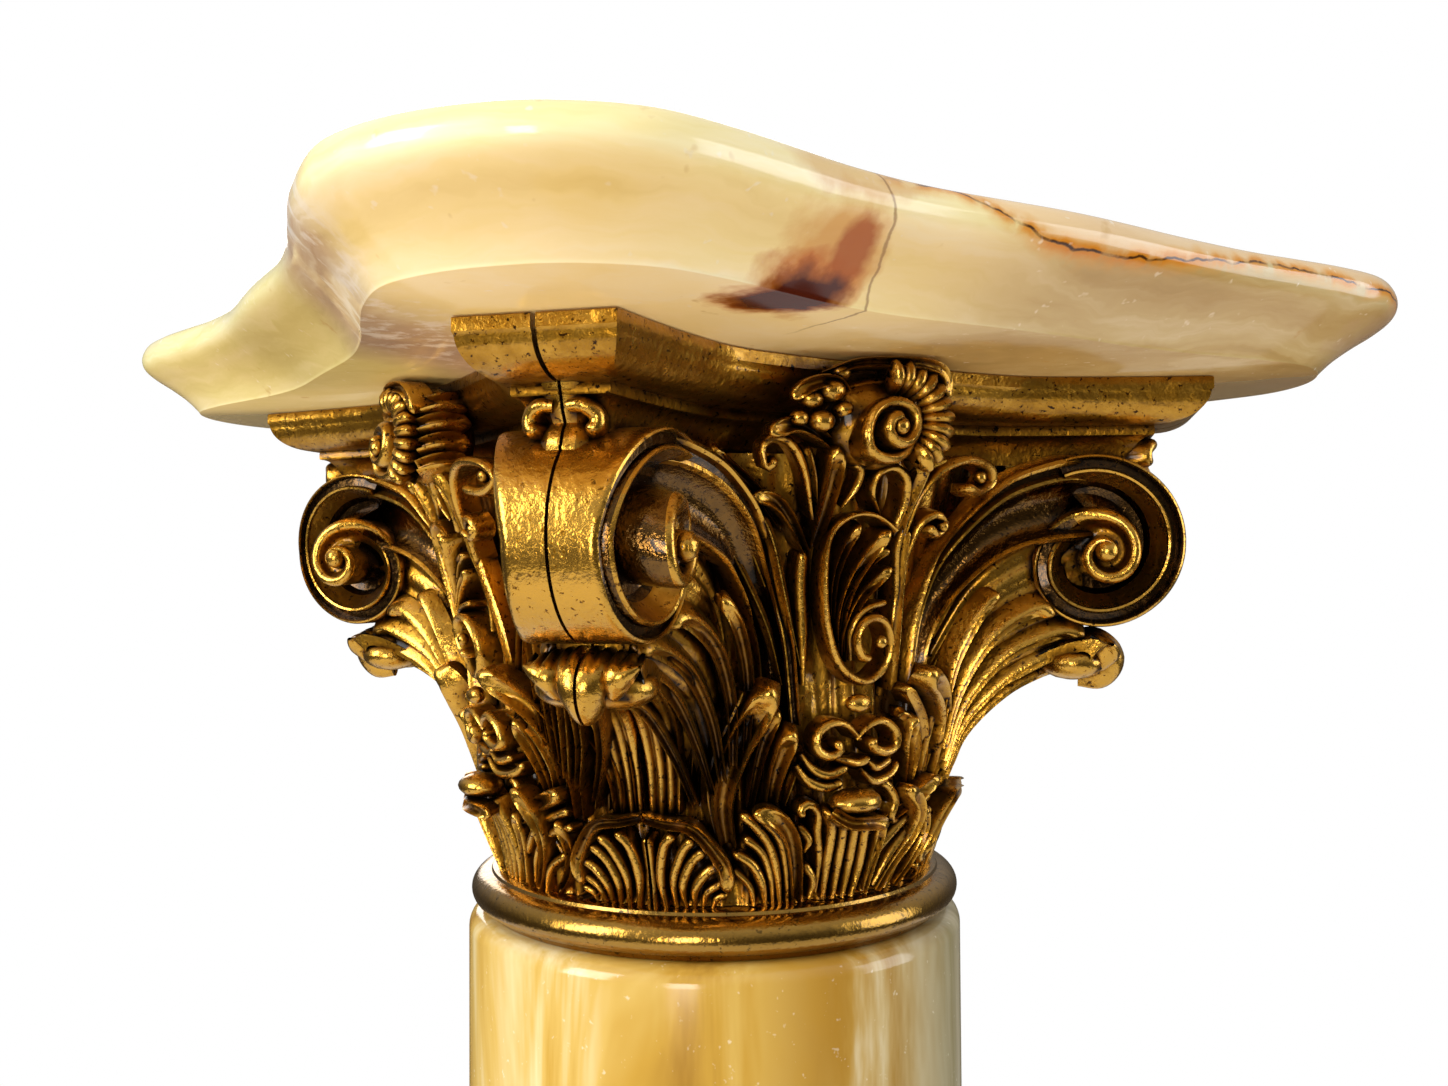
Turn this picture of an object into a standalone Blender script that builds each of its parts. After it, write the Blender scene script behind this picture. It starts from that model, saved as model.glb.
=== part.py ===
"""Onyx pedestal column with a cast brass Corinthian capital.

Metres, +Z up. The origin is the centre of the plinth's underside, and the four faces look along -Y, +X, +Y
and -X. The capital is four equal quarter castings, one to a face, that meet on the corner diagonals.
"""

from math import cos, exp, pi, radians, sin, sqrt, tau

import bmesh
import bpy
from mathutils import Matrix, Vector

# Driving dimensions, in metres
PIECE_GAP = 0.0003
ROUND_SIDES = 36
FACET_SHARE = 0.5

SHAFT_RADIUS = 0.075
SHAFT_LENGTH = 0.762
SHAFT_EDGE = 0.005

NECK_RING_HEIGHT = 0.0125
NECK_RING_INSET = 0.0008

CAPITAL_HEIGHT = 0.140
BELL_FOOT_INSET = 0.0125
BELL_FLARE = 0.017
SEAM_WIDTH = 0.0008

ABACUS_CORNER_REACH = 0.1461
ABACUS_CORNER_HALF_WIDTH = 0.018
ABACUS_SIDE_REACH = 0.0870
ABACUS_FILLET = 0.0032
ABACUS_OVOLO_DROP = 0.0090
ABACUS_OVOLO_INSET = 0.0140
ABACUS_LIST = 0.0026
ABACUS_HOLLOW_DROP = 0.0080
ABACUS_HOLLOW_INSET = 0.0065

VOLUTE_RADIUS = 0.0248
VOLUTE_CENTRE_INSET = 0.0310
VOLUTE_DROP = 0.0455
VOLUTE_STRAP_HALF_WIDTH = 0.0095
VOLUTE_EYE_RISE = 0.0115

LOWER_LEAF_HEIGHT = 0.0250
LOWER_LEAF_REACH = 0.0770
UPPER_LEAF_HEIGHT = 0.0590
UPPER_LEAF_REACH = 0.0810
HORN_LEAF_HEIGHT = 0.0670
HORN_LEAF_REACH = 0.1150
LEAF_RELIEF = 0.0016

SLAB_THICKNESS = 0.0232
SLAB_NEAR_CORNER_REACH = 0.2020
SLAB_NEAR_LOBE_TURN = 0.07
SLAB_CORNER_REACH = 0.1945
SLAB_FRONT_REACH = 0.1560
SLAB_LEFT_REACH = 0.1400
SLAB_PLAIN_REACH = 0.1480
SLAB_FOOT_INSET = 0.0190

BASE_RING_HEIGHT = 0.030
BASE_RING_SPREAD = 0.016
STEP_THICKNESS = 0.028
STEP_SIDE_REACH = 0.114
STEP_CANT = 0.0152
PLINTH_THICKNESS = 0.045
PLINTH_SIDE_REACH = 0.170
PLINTH_CANT = 0.0184
BASE_EDGE = 0.004

# Levels, from the floor up
STEP_LEVEL = PLINTH_THICKNESS + PIECE_GAP
BASE_RING_LEVEL = STEP_LEVEL + STEP_THICKNESS + PIECE_GAP
SHAFT_LEVEL = BASE_RING_LEVEL + BASE_RING_HEIGHT + PIECE_GAP
NECK_RING_LEVEL = SHAFT_LEVEL + SHAFT_LENGTH + PIECE_GAP
CAPITAL_LEVEL = NECK_RING_LEVEL + NECK_RING_HEIGHT + PIECE_GAP
SLAB_LEVEL = CAPITAL_LEVEL + CAPITAL_HEIGHT + PIECE_GAP

ABACUS_HEIGHT = ABACUS_FILLET + ABACUS_OVOLO_DROP + ABACUS_LIST + ABACUS_HOLLOW_DROP
BELL_HEIGHT = CAPITAL_HEIGHT - ABACUS_HEIGHT
BELL_FOOT_RADIUS = SHAFT_RADIUS - BELL_FOOT_INSET
VOLUTE_CENTRE_REACH = ABACUS_CORNER_REACH - VOLUTE_CENTRE_INSET
VOLUTE_CENTRE_HEIGHT = CAPITAL_HEIGHT - VOLUTE_DROP
CORNER = pi / 4
LEAST_BODY = 1e-7


def finish(name, colour, roughness, metallic):
    material = bpy.data.materials.new(name)
    material.use_nodes = True
    shader = material.node_tree.nodes["Principled BSDF"]
    shader.inputs["Base Color"].default_value = (*colour, 1.0)
    shader.inputs["Roughness"].default_value = roughness
    shader.inputs["Metallic"].default_value = metallic
    return material


def new_object(name, mesh, group, material=None):
    thing = bpy.data.objects.new(name, mesh)
    group.objects.link(thing)
    if material:
        mesh.materials.clear()
        mesh.materials.append(material)
    return thing


def closed_mesh(name, points, faces):
    mesh = bpy.data.meshes.new(name)
    mesh.from_pydata([tuple(p) for p in points], [], faces)
    shell = bmesh.new()
    shell.from_mesh(mesh)
    bmesh.ops.recalc_face_normals(shell, faces=shell.faces)
    shell.to_mesh(mesh)
    shell.free()
    return mesh


def fill_hollows(mesh):
    """Keeps the outer skin: drops the pockets sealed between the joined forms, and any loose speck."""
    shell = bmesh.new()
    shell.from_mesh(mesh)
    bmesh.ops.triangulate(shell, faces=shell.faces)
    left = set(shell.faces)
    while left:
        body, border = set(), [left.pop()]
        while border:
            face = border.pop()
            body.add(face)
            edges = [edge for edge in face.edges if len(edge.link_faces) == 2]
            near = {other for edge in edges for other in edge.link_faces} & left
            left -= near
            border.extend(near)
        volume = 0.0
        for face in body:
            a, b, c = (vert.co for vert in face.verts)
            volume += a.dot(b.cross(c)) / 6
        if volume < LEAST_BODY:
            bmesh.ops.delete(shell, geom=list(body), context="FACES")
    shell.to_mesh(mesh)
    shell.free()


def turned(name, profile, level, group, material):
    """A turned piece: the profile runs (radius, height) down its outer side, from axis to axis."""
    mesh = bpy.data.meshes.new(name)
    edges = [(i, i + 1) for i in range(len(profile) - 1)]
    mesh.from_pydata([(radius, 0.0, height) for radius, height in profile], edges, [])
    thing = new_object(name, mesh, group, material)
    thing.location.z = level
    screw = thing.modifiers.new("turn", "SCREW")
    screw.steps = screw.render_steps = ROUND_SIDES
    screw.use_merge_vertices = True
    screw.merge_threshold = 0.00005
    screw.use_smooth_shade = False
    return thing


def arc(centre, radii, start, end, steps):
    """Points of an elliptic arc in a profile; angles are in degrees, from outward towards up."""
    turns = [radians(start + (end - start) * i / steps) for i in range(steps + 1)]
    return [(centre[0] + radii[0] * cos(t), centre[1] + radii[1] * sin(t)) for t in turns]


def tube(name, rings):
    """Closed body through rings of points of one count, with flat ends."""
    count = len(rings[0])
    points = [p for ring in rings for p in ring]
    faces = [tuple(reversed(range(count))), tuple(range(len(points) - count, len(points)))]
    for row in range(len(rings) - 1):
        for i in range(count):
            j = (i + 1) % count
            faces.append((row * count + i, row * count + j, (row + 1) * count + j, (row + 1) * count + i))
    return closed_mesh(name, points, faces)


def loft(name, rows):
    """Closed body through outlines of one point count, each (outline, height)."""
    return tube(name, [[(p.x, p.y, height) for p in outline] for outline, height in rows])


# Plans: half a side is drawn as (share of the way to the corner, share of the rise) and turned to four sides
ABACUS_SIDE = ((0.0, 0.0), (0.25, 0.01), (0.50, 0.10), (0.68, 0.36), (0.84, 0.66), (1.0, 1.0))
SLAB_SWELL = ((0.0, 0.0), (0.30, 0.06), (0.48, 0.23), (0.60, 0.44), (0.70, 0.66), (0.80, 0.87), (0.90, 0.97), (1.0, 1.0))


SLAB_NOSE = ((0.80, 0.20), (0.52, 0.36), (0.24, 0.50), (0.06, 0.62), (0.0, 0.74), (0.04, 0.86), (0.14, 0.95), (0.34, 1.0))


def four_sides(half_sides, corner_points):
    """Closed outline, anticlockwise from the front. Each half side holds (across, out) points."""
    outline = []
    for face, half in enumerate(half_sides):
        across = [(-x, out) for x, out in reversed(half)] + list(half[1:]) + list(corner_points)
        for x, out in across:
            point = Vector((x, -out))
            point.rotate(Matrix.Rotation(face * pi / 2, 2))
            outline.append(point)
    return outline


def abacus_plan(inset):
    end = (ABACUS_CORNER_REACH - inset - ABACUS_CORNER_HALF_WIDTH) / sqrt(2)
    out = (ABACUS_CORNER_REACH - inset + ABACUS_CORNER_HALF_WIDTH) / sqrt(2)
    reach = ABACUS_SIDE_REACH - inset
    half = [(share * end, reach + rise * (out - reach)) for share, rise in ABACUS_SIDE]
    return four_sides([half] * 4, [])


def slab_plan(inset):
    """Four scooped sides between round lobes. The lobe between the left and front sides is the largest."""
    reaches = (SLAB_FRONT_REACH, SLAB_PLAIN_REACH, SLAB_PLAIN_REACH, SLAB_LEFT_REACH)
    corners = (SLAB_NEAR_CORNER_REACH, SLAB_CORNER_REACH, SLAB_CORNER_REACH, SLAB_CORNER_REACH)
    turns = (SLAB_NEAR_LOBE_TURN, 0.0, 0.0, 0.0)
    outline = []
    for face, reach in enumerate(reaches):
        for side in (-1, 1):
            corner = (face + (side > 0)) % 4
            shares = SLAB_SWELL[::-1] if side < 0 else SLAB_SWELL[1:-1]
            for share, swell in shares:
                radius = reach + swell * (corners[corner] - reach) - inset
                angle = face * pi / 2 + side * share * CORNER + turns[corner] * max(0.0, share - 0.3) / 0.7
                outline.append(Vector((radius * sin(angle), -radius * cos(angle))))
    return outline


def canted_plan(side_reach, cant):
    """Square plan with its corners cut off flat, cant deep along the diagonal."""
    along = side_reach - cant * sqrt(2)
    return four_sides([[(along, side_reach)]] * 4, [(along, side_reach)])


# Forms of the capital. An angle is from the face's own centre line, positive to its right; heights are from
# the capital's foot
def place(angle, radius, height):
    return Vector((radius * sin(angle), -radius * cos(angle), height))


def bell_radius(height):
    share = max(0.0, min(1.0, height / BELL_HEIGHT))
    return BELL_FOOT_RADIUS + BELL_FLARE * share * share


def smooth_path(knots, steps):
    """Catmull-Rom curve through the knots, with steps points to a span."""
    ends = [knots[0] * 2 - knots[1], *knots, knots[-1] * 2 - knots[-2]]
    points = []
    for i in range(len(knots) - 1):
        a, b, c, d = ends[i : i + 4]
        for step in range(steps):
            t = step / steps
            curve = 2 * b + (c - a) * t + (2 * a - 5 * b + 4 * c - d) * t**2 + (3 * b - a - 3 * c + d) * t**3
            points.append(curve * 0.5)
    return [*points, knots[-1].copy()]


def spine_point(spine, share):
    place_in = min(max(share, 0.0), 0.9999) * (len(spine) - 1)
    i = int(place_in)
    here = spine[i].lerp(spine[i + 1], place_in - i)
    ahead = (spine[min(i + 1, len(spine) - 1)] - spine[max(i - 1, 0)]).normalized()
    return here, Vector((ahead.y, -ahead.x))


def leaf(name, angle, spine, half_width, lobes, rows=4, relief=LEAF_RELIEF, sink=0.006, fan=1.25):
    """Leaf whose lobes fan from its foot: ridges end in points, the grooves between them end short.

    spine holds (radius, height) points from foot to tip. Its back lies sink behind the front, less at the tip.
    """
    columns = 2 * lobes
    points = []

    def put(across, along, out):
        here, front = spine_point(spine, along)
        moved = here + front * out
        points.append(place(angle + across / here.x, moved.x, moved.y))

    for c in range(columns + 1):
        share = -1 + 2 * c / columns
        ridge = c % 2 == 1
        length = 1.0 if ridge else 0.86
        end_across = half_width * sin(share * fan) * length / sin(fan)
        end_along = (1 - 0.62 * (1 - cos(share * fan))) * length
        for r in range(rows + 1):
            t = r / rows
            across = half_width * 0.62 * share + (end_across - half_width * 0.62 * share) * t**0.8
            put(across, end_along * t, relief * (1 if ridge else -0.8) * (0.4 + 0.6 * t))
    stride = rows + 1
    last = columns * stride
    faces = []
    for c in range(columns):
        for r in range(rows):
            a = c * stride + r
            faces.append((a, a + stride, a + stride + 1, a + 1))
    back = len(points)
    for r in range(rows + 1):
        t = r / rows
        for side in (-1, 1):
            put(side * half_width * (0.62 + 0.2 * t), (0.49 + 0.36 * t**2) * t, -sink * (1 - 0.45 * t))
    for r in range(rows):
        low, high = back + 2 * r, back + 2 * r + 2
        faces.append((r, r + 1, high, low))
        faces.append((last + r + 1, last + r, low + 1, high + 1))
        faces.append((low, high, high + 1, low + 1))
    faces.append((*(c * stride for c in range(columns + 1)), back + 1, back))
    faces.append((*(c * stride + rows for c in range(columns, -1, -1)), back + 2 * rows, back + 2 * rows + 1))
    return closed_mesh(name, points, faces)


def blade(name, knots, half_width, rise, sink, steps=2, taper=0.4):
    """Raised blade through (angle in degrees, radius, height) knots, widest past its middle."""
    path = smooth_path([place(radians(a), radius, height) for a, radius, height in knots], steps)
    rings = []
    for i, point in enumerate(path):
        t = i / (len(path) - 1)
        ahead = (path[min(i + 1, len(path) - 1)] - path[max(i - 1, 0)]).normalized()
        out = Vector((point.x, point.y, 0.0)).normalized()
        side = ahead.cross(out).normalized()
        front = side.cross(ahead).normalized()
        swell = taper + (1 - taper) * sin(pi * min(1.0, 0.15 + 0.7 * t))
        width, height = half_width * swell, rise * (0.5 + 0.5 * swell)
        low_left = point - side * width - front * sink
        low_right = point + side * width - front * sink
        high_left = point - side * width * 0.45 + front * height
        high_right = point + side * width * 0.45 + front * height
        rings.append([low_left, high_left, high_right, low_right])
    return tube(name, rings)


def boss(name, angle, radius, height, size, rise, sides=8):
    """Domed round boss that faces straight out from the axis."""
    centre = place(radians(angle), radius, height)
    out = Vector((centre.x, centre.y, 0.0)).normalized()
    side = Vector((0, 0, 1)).cross(out)
    rings = []
    for share, forward in ((1.0, -2 * rise), (1.0, 0.0), (0.72, 0.7 * rise), (0.25, rise)):
        ring = []
        for i in range(sides):
            turn = tau * i / sides
            ring.append(centre + (side * cos(turn) + Vector((0, 0, sin(turn)))) * size * share + out * forward)
        rings.append(ring)
    return tube(name, rings)


def coil_radius(turn):
    """Radius of the volute's rim after a number of turns: near round at first, then closing in."""
    if turn <= 1.0:
        return VOLUTE_RADIUS * (1 - 0.46 * turn**2.2)
    return VOLUTE_RADIUS * 0.54 * exp(-0.62 * (turn - 1.0))


def half_volute(name, hand):
    """One side of a corner volute with its strap; hand is 1 at the face's right corner, -1 at its left.

    The strap's edge is a rim, a channel and a rim, which wind in together and rise sideways to the eye.
    """
    per_turn, rows = 12, 21
    outward = place(hand * CORNER, 1.0, 0.0)
    up = Vector((0, 0, 1))
    sideways = place(0.0, 1.0, 0.0) - outward * cos(CORNER)
    sideways.normalize()
    centre = outward * VOLUTE_CENTRE_REACH + up * VOLUTE_CENTRE_HEIGHT

    def strand(i, channel):
        turn = i / per_turn
        wound = turn + channel / 2
        radius = coil_radius(turn)
        if channel:
            radius = (coil_radius(turn) + coil_radius(turn + 1)) / 2
        bearing = radians(115) - tau * turn
        rise = VOLUTE_STRAP_HALF_WIDTH + VOLUTE_EYE_RISE * min(1.0, wound / 1.8) ** 1.4 - 0.0028 * channel
        return centre + (outward * cos(bearing) + up * sin(bearing)) * radius + sideways * rise

    points = [strand(i, channel) for i in range(rows + 1) for channel in (0, 1)]
    faces = [(2 * i, 2 * i + 2, 2 * i + 3, 2 * i + 1) for i in range(rows)]
    for i in range(rows - per_turn):
        inner = 2 * (i + per_turn)
        faces.append((2 * i + 1, 2 * i + 3, inner + 2, inner))
    eye = len(points)
    points.append(centre + sideways * (VOLUTE_STRAP_HALF_WIDTH + VOLUTE_EYE_RISE * 1.05))
    mouth = 2 * (rows - per_turn) + 1
    for i in range(rows - per_turn, rows):
        faces.append((2 * i + 1, 2 * i + 3, eye))
    faces.append((2 * rows + 1, 2 * rows, eye))
    faces.append((2 * rows, mouth, eye))
    rim = [2 * i for i in range(per_turn + 1)] + [1]
    low = len(points)
    points.extend(points[k] - sideways * (points[k].dot(sideways) + 0.0012) for k in rim)
    for k in range(len(rim)):
        m = (k + 1) % len(rim)
        faces.append((rim[k], low + k, low + m, rim[m]))
    faces.append(tuple(range(low, low + len(rim))))
    return closed_mesh(name, points, faces)


def ground():
    """The bell behind the leaves, with some to spare for the cut on the diagonals."""
    rows = []
    for height in (0.0, 0.4 * BELL_HEIGHT, 0.75 * BELL_HEIGHT, BELL_HEIGHT + 0.002):
        ring = [place(radians(-52 + 13 * i), bell_radius(height), 0) for i in range(9)]
        rows.append(([Vector((0.0, 0.004)), *[Vector((p.x, p.y)) for p in ring]], height))
    return loft("bell", rows)


def abacus():
    ovolo_top = CAPITAL_HEIGHT - ABACUS_FILLET
    hollow_top = ovolo_top - ABACUS_OVOLO_DROP - ABACUS_LIST
    rows = [(0.0, CAPITAL_HEIGHT), (0.0, ovolo_top)]
    for turn in (10, 35, 65, 90):
        inset = 0.0012 + ABACUS_OVOLO_INSET * (1 - cos(radians(turn)))
        rows.append((inset, ovolo_top - ABACUS_OVOLO_DROP * sin(radians(turn))))
    edge = 0.0012 + ABACUS_OVOLO_INSET
    rows.append((edge, hollow_top))
    for turn in (45, 90):
        inset = edge + ABACUS_HOLLOW_INSET * sin(radians(turn))
        rows.append((inset, hollow_top - ABACUS_HOLLOW_DROP * (1 - cos(radians(turn)))))
    return loft("abacus", [(abacus_plan(inset), height) for inset, height in reversed(rows)])


def spine(start_height, start_out, reach, height, hook):
    """Side view of a leaf, as (radius, height): up along the bell, out, and over at the tip."""
    start = bell_radius(start_height) + start_out
    rise, spread = height - start_height, reach - start
    shape = ((0.0, 0.0), (0.06, 0.40), (0.24, 0.74), (0.62, 0.96), (1.0, 1.0), (1.02, 1.0 - hook))
    return [Vector((start + spread * out, start_height + rise * up)) for out, up in shape]


def capital_forms():
    """All the raised work of one quarter; what crosses a diagonal is cut there afterwards."""
    deg = radians
    lower = spine(0.0008, 0.003, LOWER_LEAF_REACH, LOWER_LEAF_HEIGHT, 0.14)
    shell = spine(0.0008, 0.003, LOWER_LEAF_REACH - 0.006, LOWER_LEAF_HEIGHT + 0.003, 0.10)
    upper = spine(0.021, 0.005, UPPER_LEAF_REACH, UPPER_LEAF_HEIGHT, 0.09)
    horn = spine(0.030, 0.005, HORN_LEAF_REACH, HORN_LEAF_HEIGHT, 0.30)
    forms = [leaf("leaf_face", 0.0, lower, 0.0150, 5, rows=5)]
    for hand, side in ((-1, "left"), (1, "right")):
        forms.append(leaf("leaf_corner_" + side, hand * CORNER, lower, 0.0150, 5, rows=5))
        forms.append(leaf("shell_" + side, hand * deg(22), shell, 0.0085, 3, rows=3))
        forms.append(leaf("leaf_upper_" + side, hand * deg(22.5), upper, 0.0150, 3, rows=5))
        forms.append(leaf("horn_" + side, hand * CORNER, horn, 0.0150, 3, rows=5, sink=0.010, fan=0.8))
        forms.append(half_volute("volute_" + side, hand))
        stalk = [(13, 0.074, 0.048), (16, 0.078, 0.078), (25, 0.088, 0.103), (37, 0.104, 0.116), (42, 0.118, 0.1165)]
        stalk = [(hand * angle, radius, height) for angle, radius, height in stalk]
        forms.append(blade("stalk_" + side, stalk, 0.0065, 0.003, 0.010, taper=0.8))
        bow = [(2, 0.0745, 0.030), (7, 0.0765, 0.036), (6, 0.0765, 0.045), (1.5, 0.0755, 0.041)]
        bow = [(hand * angle, radius, height) for angle, radius, height in bow]
        forms.append(blade("bow_" + side, bow, 0.0035, 0.0025, 0.012))
    paisley = [(6, 0.078, 0.064), (-1, 0.080, 0.0665), (-6.5, 0.081, 0.080), (-4, 0.083, 0.094), (3, 0.083, 0.098)]
    forms.append(blade("paisley", paisley, 0.0060, 0.003, 0.017, taper=0.55))
    scroll = [(6, 0.077, 0.066), (13, 0.080, 0.080), (12, 0.083, 0.097), (20, 0.087, 0.108), (27, 0.092, 0.112)]
    forms.append(blade("scroll_right", scroll, 0.0042, 0.003, 0.016, taper=0.6))
    scroll = [(-10, 0.077, 0.066), (-13, 0.080, 0.082), (-11, 0.083, 0.097), (-16, 0.088, 0.108), (-22, 0.092, 0.112)]
    forms.append(blade("scroll_left", scroll, 0.0042, 0.003, 0.016, taper=0.6))
    crest = [Vector(pair) for pair in ((0.086, 0.113), (0.094, 0.118), (0.099, 0.125), (0.100, 0.132), (0.0975, 0.1365))]
    forms.append(leaf("crest", deg(-4.5), crest, 0.0135, 3, rows=4, sink=0.014))
    forms.append(boss("crest_back", -5, 0.083, 0.1245, 0.0105, 0.0090))
    forms.append(boss("crest_eye", -5, 0.0975, 0.1215, 0.0055, 0.004))
    forms.append(boss("crest_side", -13, 0.094, 0.1235, 0.0050, 0.004))
    return forms


# The scene starts empty
for thing in list(bpy.data.objects):
    bpy.data.objects.remove(thing)

column = bpy.data.collections.new("column")
cutters = bpy.data.collections.new("cutters")
raised_work = bpy.data.collections.new("raised_work")
for group in (column, cutters, raised_work):
    bpy.context.scene.collection.children.link(group)

honey_onyx = finish("honey_onyx_polished", (0.70, 0.48, 0.20), 0.18, 0.0)
cream_onyx = finish("cream_onyx_polished", (0.72, 0.60, 0.38), 0.20, 0.0)
cast_brass = finish("cast_brass_gilt", (0.60, 0.38, 0.10), 0.34, 1.0)
turned_brass = finish("turned_brass_ring", (0.62, 0.40, 0.12), 0.28, 1.0)

# Onyx plinth and step: square slabs with canted corners and eased top edges
for name, level, thickness, side_reach, cant in (
    ("base_plinth", 0.0, PLINTH_THICKNESS, PLINTH_SIDE_REACH, PLINTH_CANT),
    ("base_step", STEP_LEVEL, STEP_THICKNESS, STEP_SIDE_REACH, STEP_CANT),
):
    rows = [(canted_plan(side_reach, cant), 0.0)]
    for turn in (0, 30, 60, 90):
        inset = BASE_EDGE * (1 - cos(radians(turn)))
        height = thickness - BASE_EDGE * (1 - sin(radians(turn)))
        rows.append((canted_plan(side_reach - inset, cant - inset * (sqrt(2) - 1)), height))
    block = new_object(name, loft(name, rows), column, cream_onyx)
    block.location.z = level

# Brass base ring: a torus over a spreading hollow
spread = SHAFT_RADIUS + BASE_RING_SPREAD
torus = arc((SHAFT_RADIUS + 0.002, BASE_RING_HEIGHT - 0.006), (0.006, 0.006), 80, -60, 5)
hollow = [(SHAFT_RADIUS + 0.0035, 0.0165), (SHAFT_RADIUS + 0.0055, 0.0120), (spread - 0.003, 0.0085)]
profile = [(0.0, BASE_RING_HEIGHT), (SHAFT_RADIUS - 0.002, BASE_RING_HEIGHT), *torus, *hollow]
profile += [(spread, 0.0070), (spread, 0.0010), (spread - 0.001, 0.0), (0.0, 0.0)]
turned("base_ring", profile, BASE_RING_LEVEL, column, turned_brass)

# Onyx shaft, a plain cylinder with rounded ends
edge = arc((SHAFT_RADIUS - SHAFT_EDGE, SHAFT_LENGTH - SHAFT_EDGE), (SHAFT_EDGE, SHAFT_EDGE), 90, 0, 3)
foot = arc((SHAFT_RADIUS - 0.002, 0.002), (0.002, 0.002), 0, -90, 2)
turned("shaft", [(0.0, SHAFT_LENGTH), *edge, *foot, (0.0, 0.0)], SHAFT_LEVEL, column, honey_onyx)

# Brass neck ring under the capital: a torus with a flat top
ring_radius = SHAFT_RADIUS - NECK_RING_INSET
torus = arc((ring_radius - 0.0058, 0.0062), (0.0058, 0.0050), 70, -75, 6)
profile = [(0.0, NECK_RING_HEIGHT), (ring_radius - 0.0068, NECK_RING_HEIGHT), (ring_radius - 0.0060, 0.0112), *torus]
profile += [(ring_radius - 0.0052, 0.0), (0.0, 0.0)]
turned("neck_ring", profile, NECK_RING_LEVEL, column, turned_brass)

# Capital: one quarter is cut from the joined forms, and the other three share its mesh
apex = SEAM_WIDTH / sqrt(2)
far = 0.30
wedge_plan = [Vector((0.0, -apex)), Vector((-far, -apex - far)), Vector((far, -apex - far))]
wedge_rows = [(wedge_plan, -0.010), (wedge_plan, CAPITAL_HEIGHT + 0.010)]
wedge = new_object("wedge", loft("wedge", wedge_rows), cutters)
for number, form in enumerate([abacus(), *capital_forms()]):
    new_object(f"form_{number:02d}_{form.name}", form, raised_work)
blank = new_object("quarter_blank", ground(), cutters)
for thing in [*cutters.objects, *raised_work.objects]:
    thing.hide_render = True
    thing.display_type = "WIRE"

join = blank.modifiers.new("join", "BOOLEAN")
join.operation = "UNION"
join.solver = "MANIFOLD"
join.operand_type = "COLLECTION"
join.collection = raised_work
cut = blank.modifiers.new("cut", "BOOLEAN")
cut.operation = "INTERSECT"
cut.solver = "MANIFOLD"
cut.object = wedge
bpy.context.view_layer.update()
quarter = bpy.data.meshes.new_from_object(blank.evaluated_get(bpy.context.evaluated_depsgraph_get()))
quarter.name = "capital_quarter"
fill_hollows(quarter)
for face, name in enumerate(("front", "right", "back", "left")):
    thing = new_object("capital_quarter_" + name, quarter, column, cast_brass)
    thing.location.z = CAPITAL_LEVEL
    thing.rotation_euler.z = face * pi / 2
    thin = thing.modifiers.new("thin", "DECIMATE")
    thin.ratio = FACET_SHARE

# Onyx top slab: a thick rounded nose over a hollow that runs in to the underside
rows = [(slab_plan(SLAB_FOOT_INSET + 0.001), 0.0), (slab_plan(SLAB_FOOT_INSET), 0.0012)]
for share, lift in SLAB_NOSE:
    rows.append((slab_plan(SLAB_FOOT_INSET * share), SLAB_THICKNESS * lift))
top = new_object("top_slab", loft("top_slab", rows), column, cream_onyx)
top.location.z = SLAB_LEVEL
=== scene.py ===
"""An onyx and brass pedestal column with a Corinthian capital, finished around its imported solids."""

from math import cos, hypot, pi, radians, sin, sqrt, tau

import bmesh
import bpy
import numpy as np
from mathutils import Matrix, Vector
from mathutils.bvhtree import BVHTree


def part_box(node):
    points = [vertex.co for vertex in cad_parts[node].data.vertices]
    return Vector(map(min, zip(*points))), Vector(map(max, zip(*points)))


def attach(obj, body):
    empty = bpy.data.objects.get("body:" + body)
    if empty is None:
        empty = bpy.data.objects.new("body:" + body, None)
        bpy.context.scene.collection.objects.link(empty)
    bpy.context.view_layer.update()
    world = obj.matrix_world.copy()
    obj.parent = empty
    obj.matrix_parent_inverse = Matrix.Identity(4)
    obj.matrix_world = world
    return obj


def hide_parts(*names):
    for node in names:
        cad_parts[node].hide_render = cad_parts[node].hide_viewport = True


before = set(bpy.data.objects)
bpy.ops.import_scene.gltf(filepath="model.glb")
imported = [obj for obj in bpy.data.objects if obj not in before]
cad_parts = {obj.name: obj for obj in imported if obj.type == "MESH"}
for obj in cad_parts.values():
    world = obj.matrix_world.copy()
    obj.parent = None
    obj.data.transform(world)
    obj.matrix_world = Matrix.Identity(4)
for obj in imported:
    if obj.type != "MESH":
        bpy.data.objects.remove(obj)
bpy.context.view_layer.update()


# Camera: a normal lens just under the top, a little to the left of the front face, tipped slightly up. Its
# distance is in shaft radii, as fitted to the picture, and its height follows the capital's foot.
SHAFT_RADIUS = 0.075
CAPITAL_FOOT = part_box("capital_quarter_front")[0][2]
CAMERA_BEARING = radians(-30.62)
CAMERA_REACH = 5.292 * SHAFT_RADIUS
CAMERA_HEIGHT = CAPITAL_FOOT + 1.155 * SHAFT_RADIUS
CAMERA_PAN, CAMERA_TIP, CAMERA_ROLL = -0.0087, 0.0247, -0.0056
FOCAL_PIXELS, PICTURE_PIXELS = 1266.0132, 1448

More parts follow.
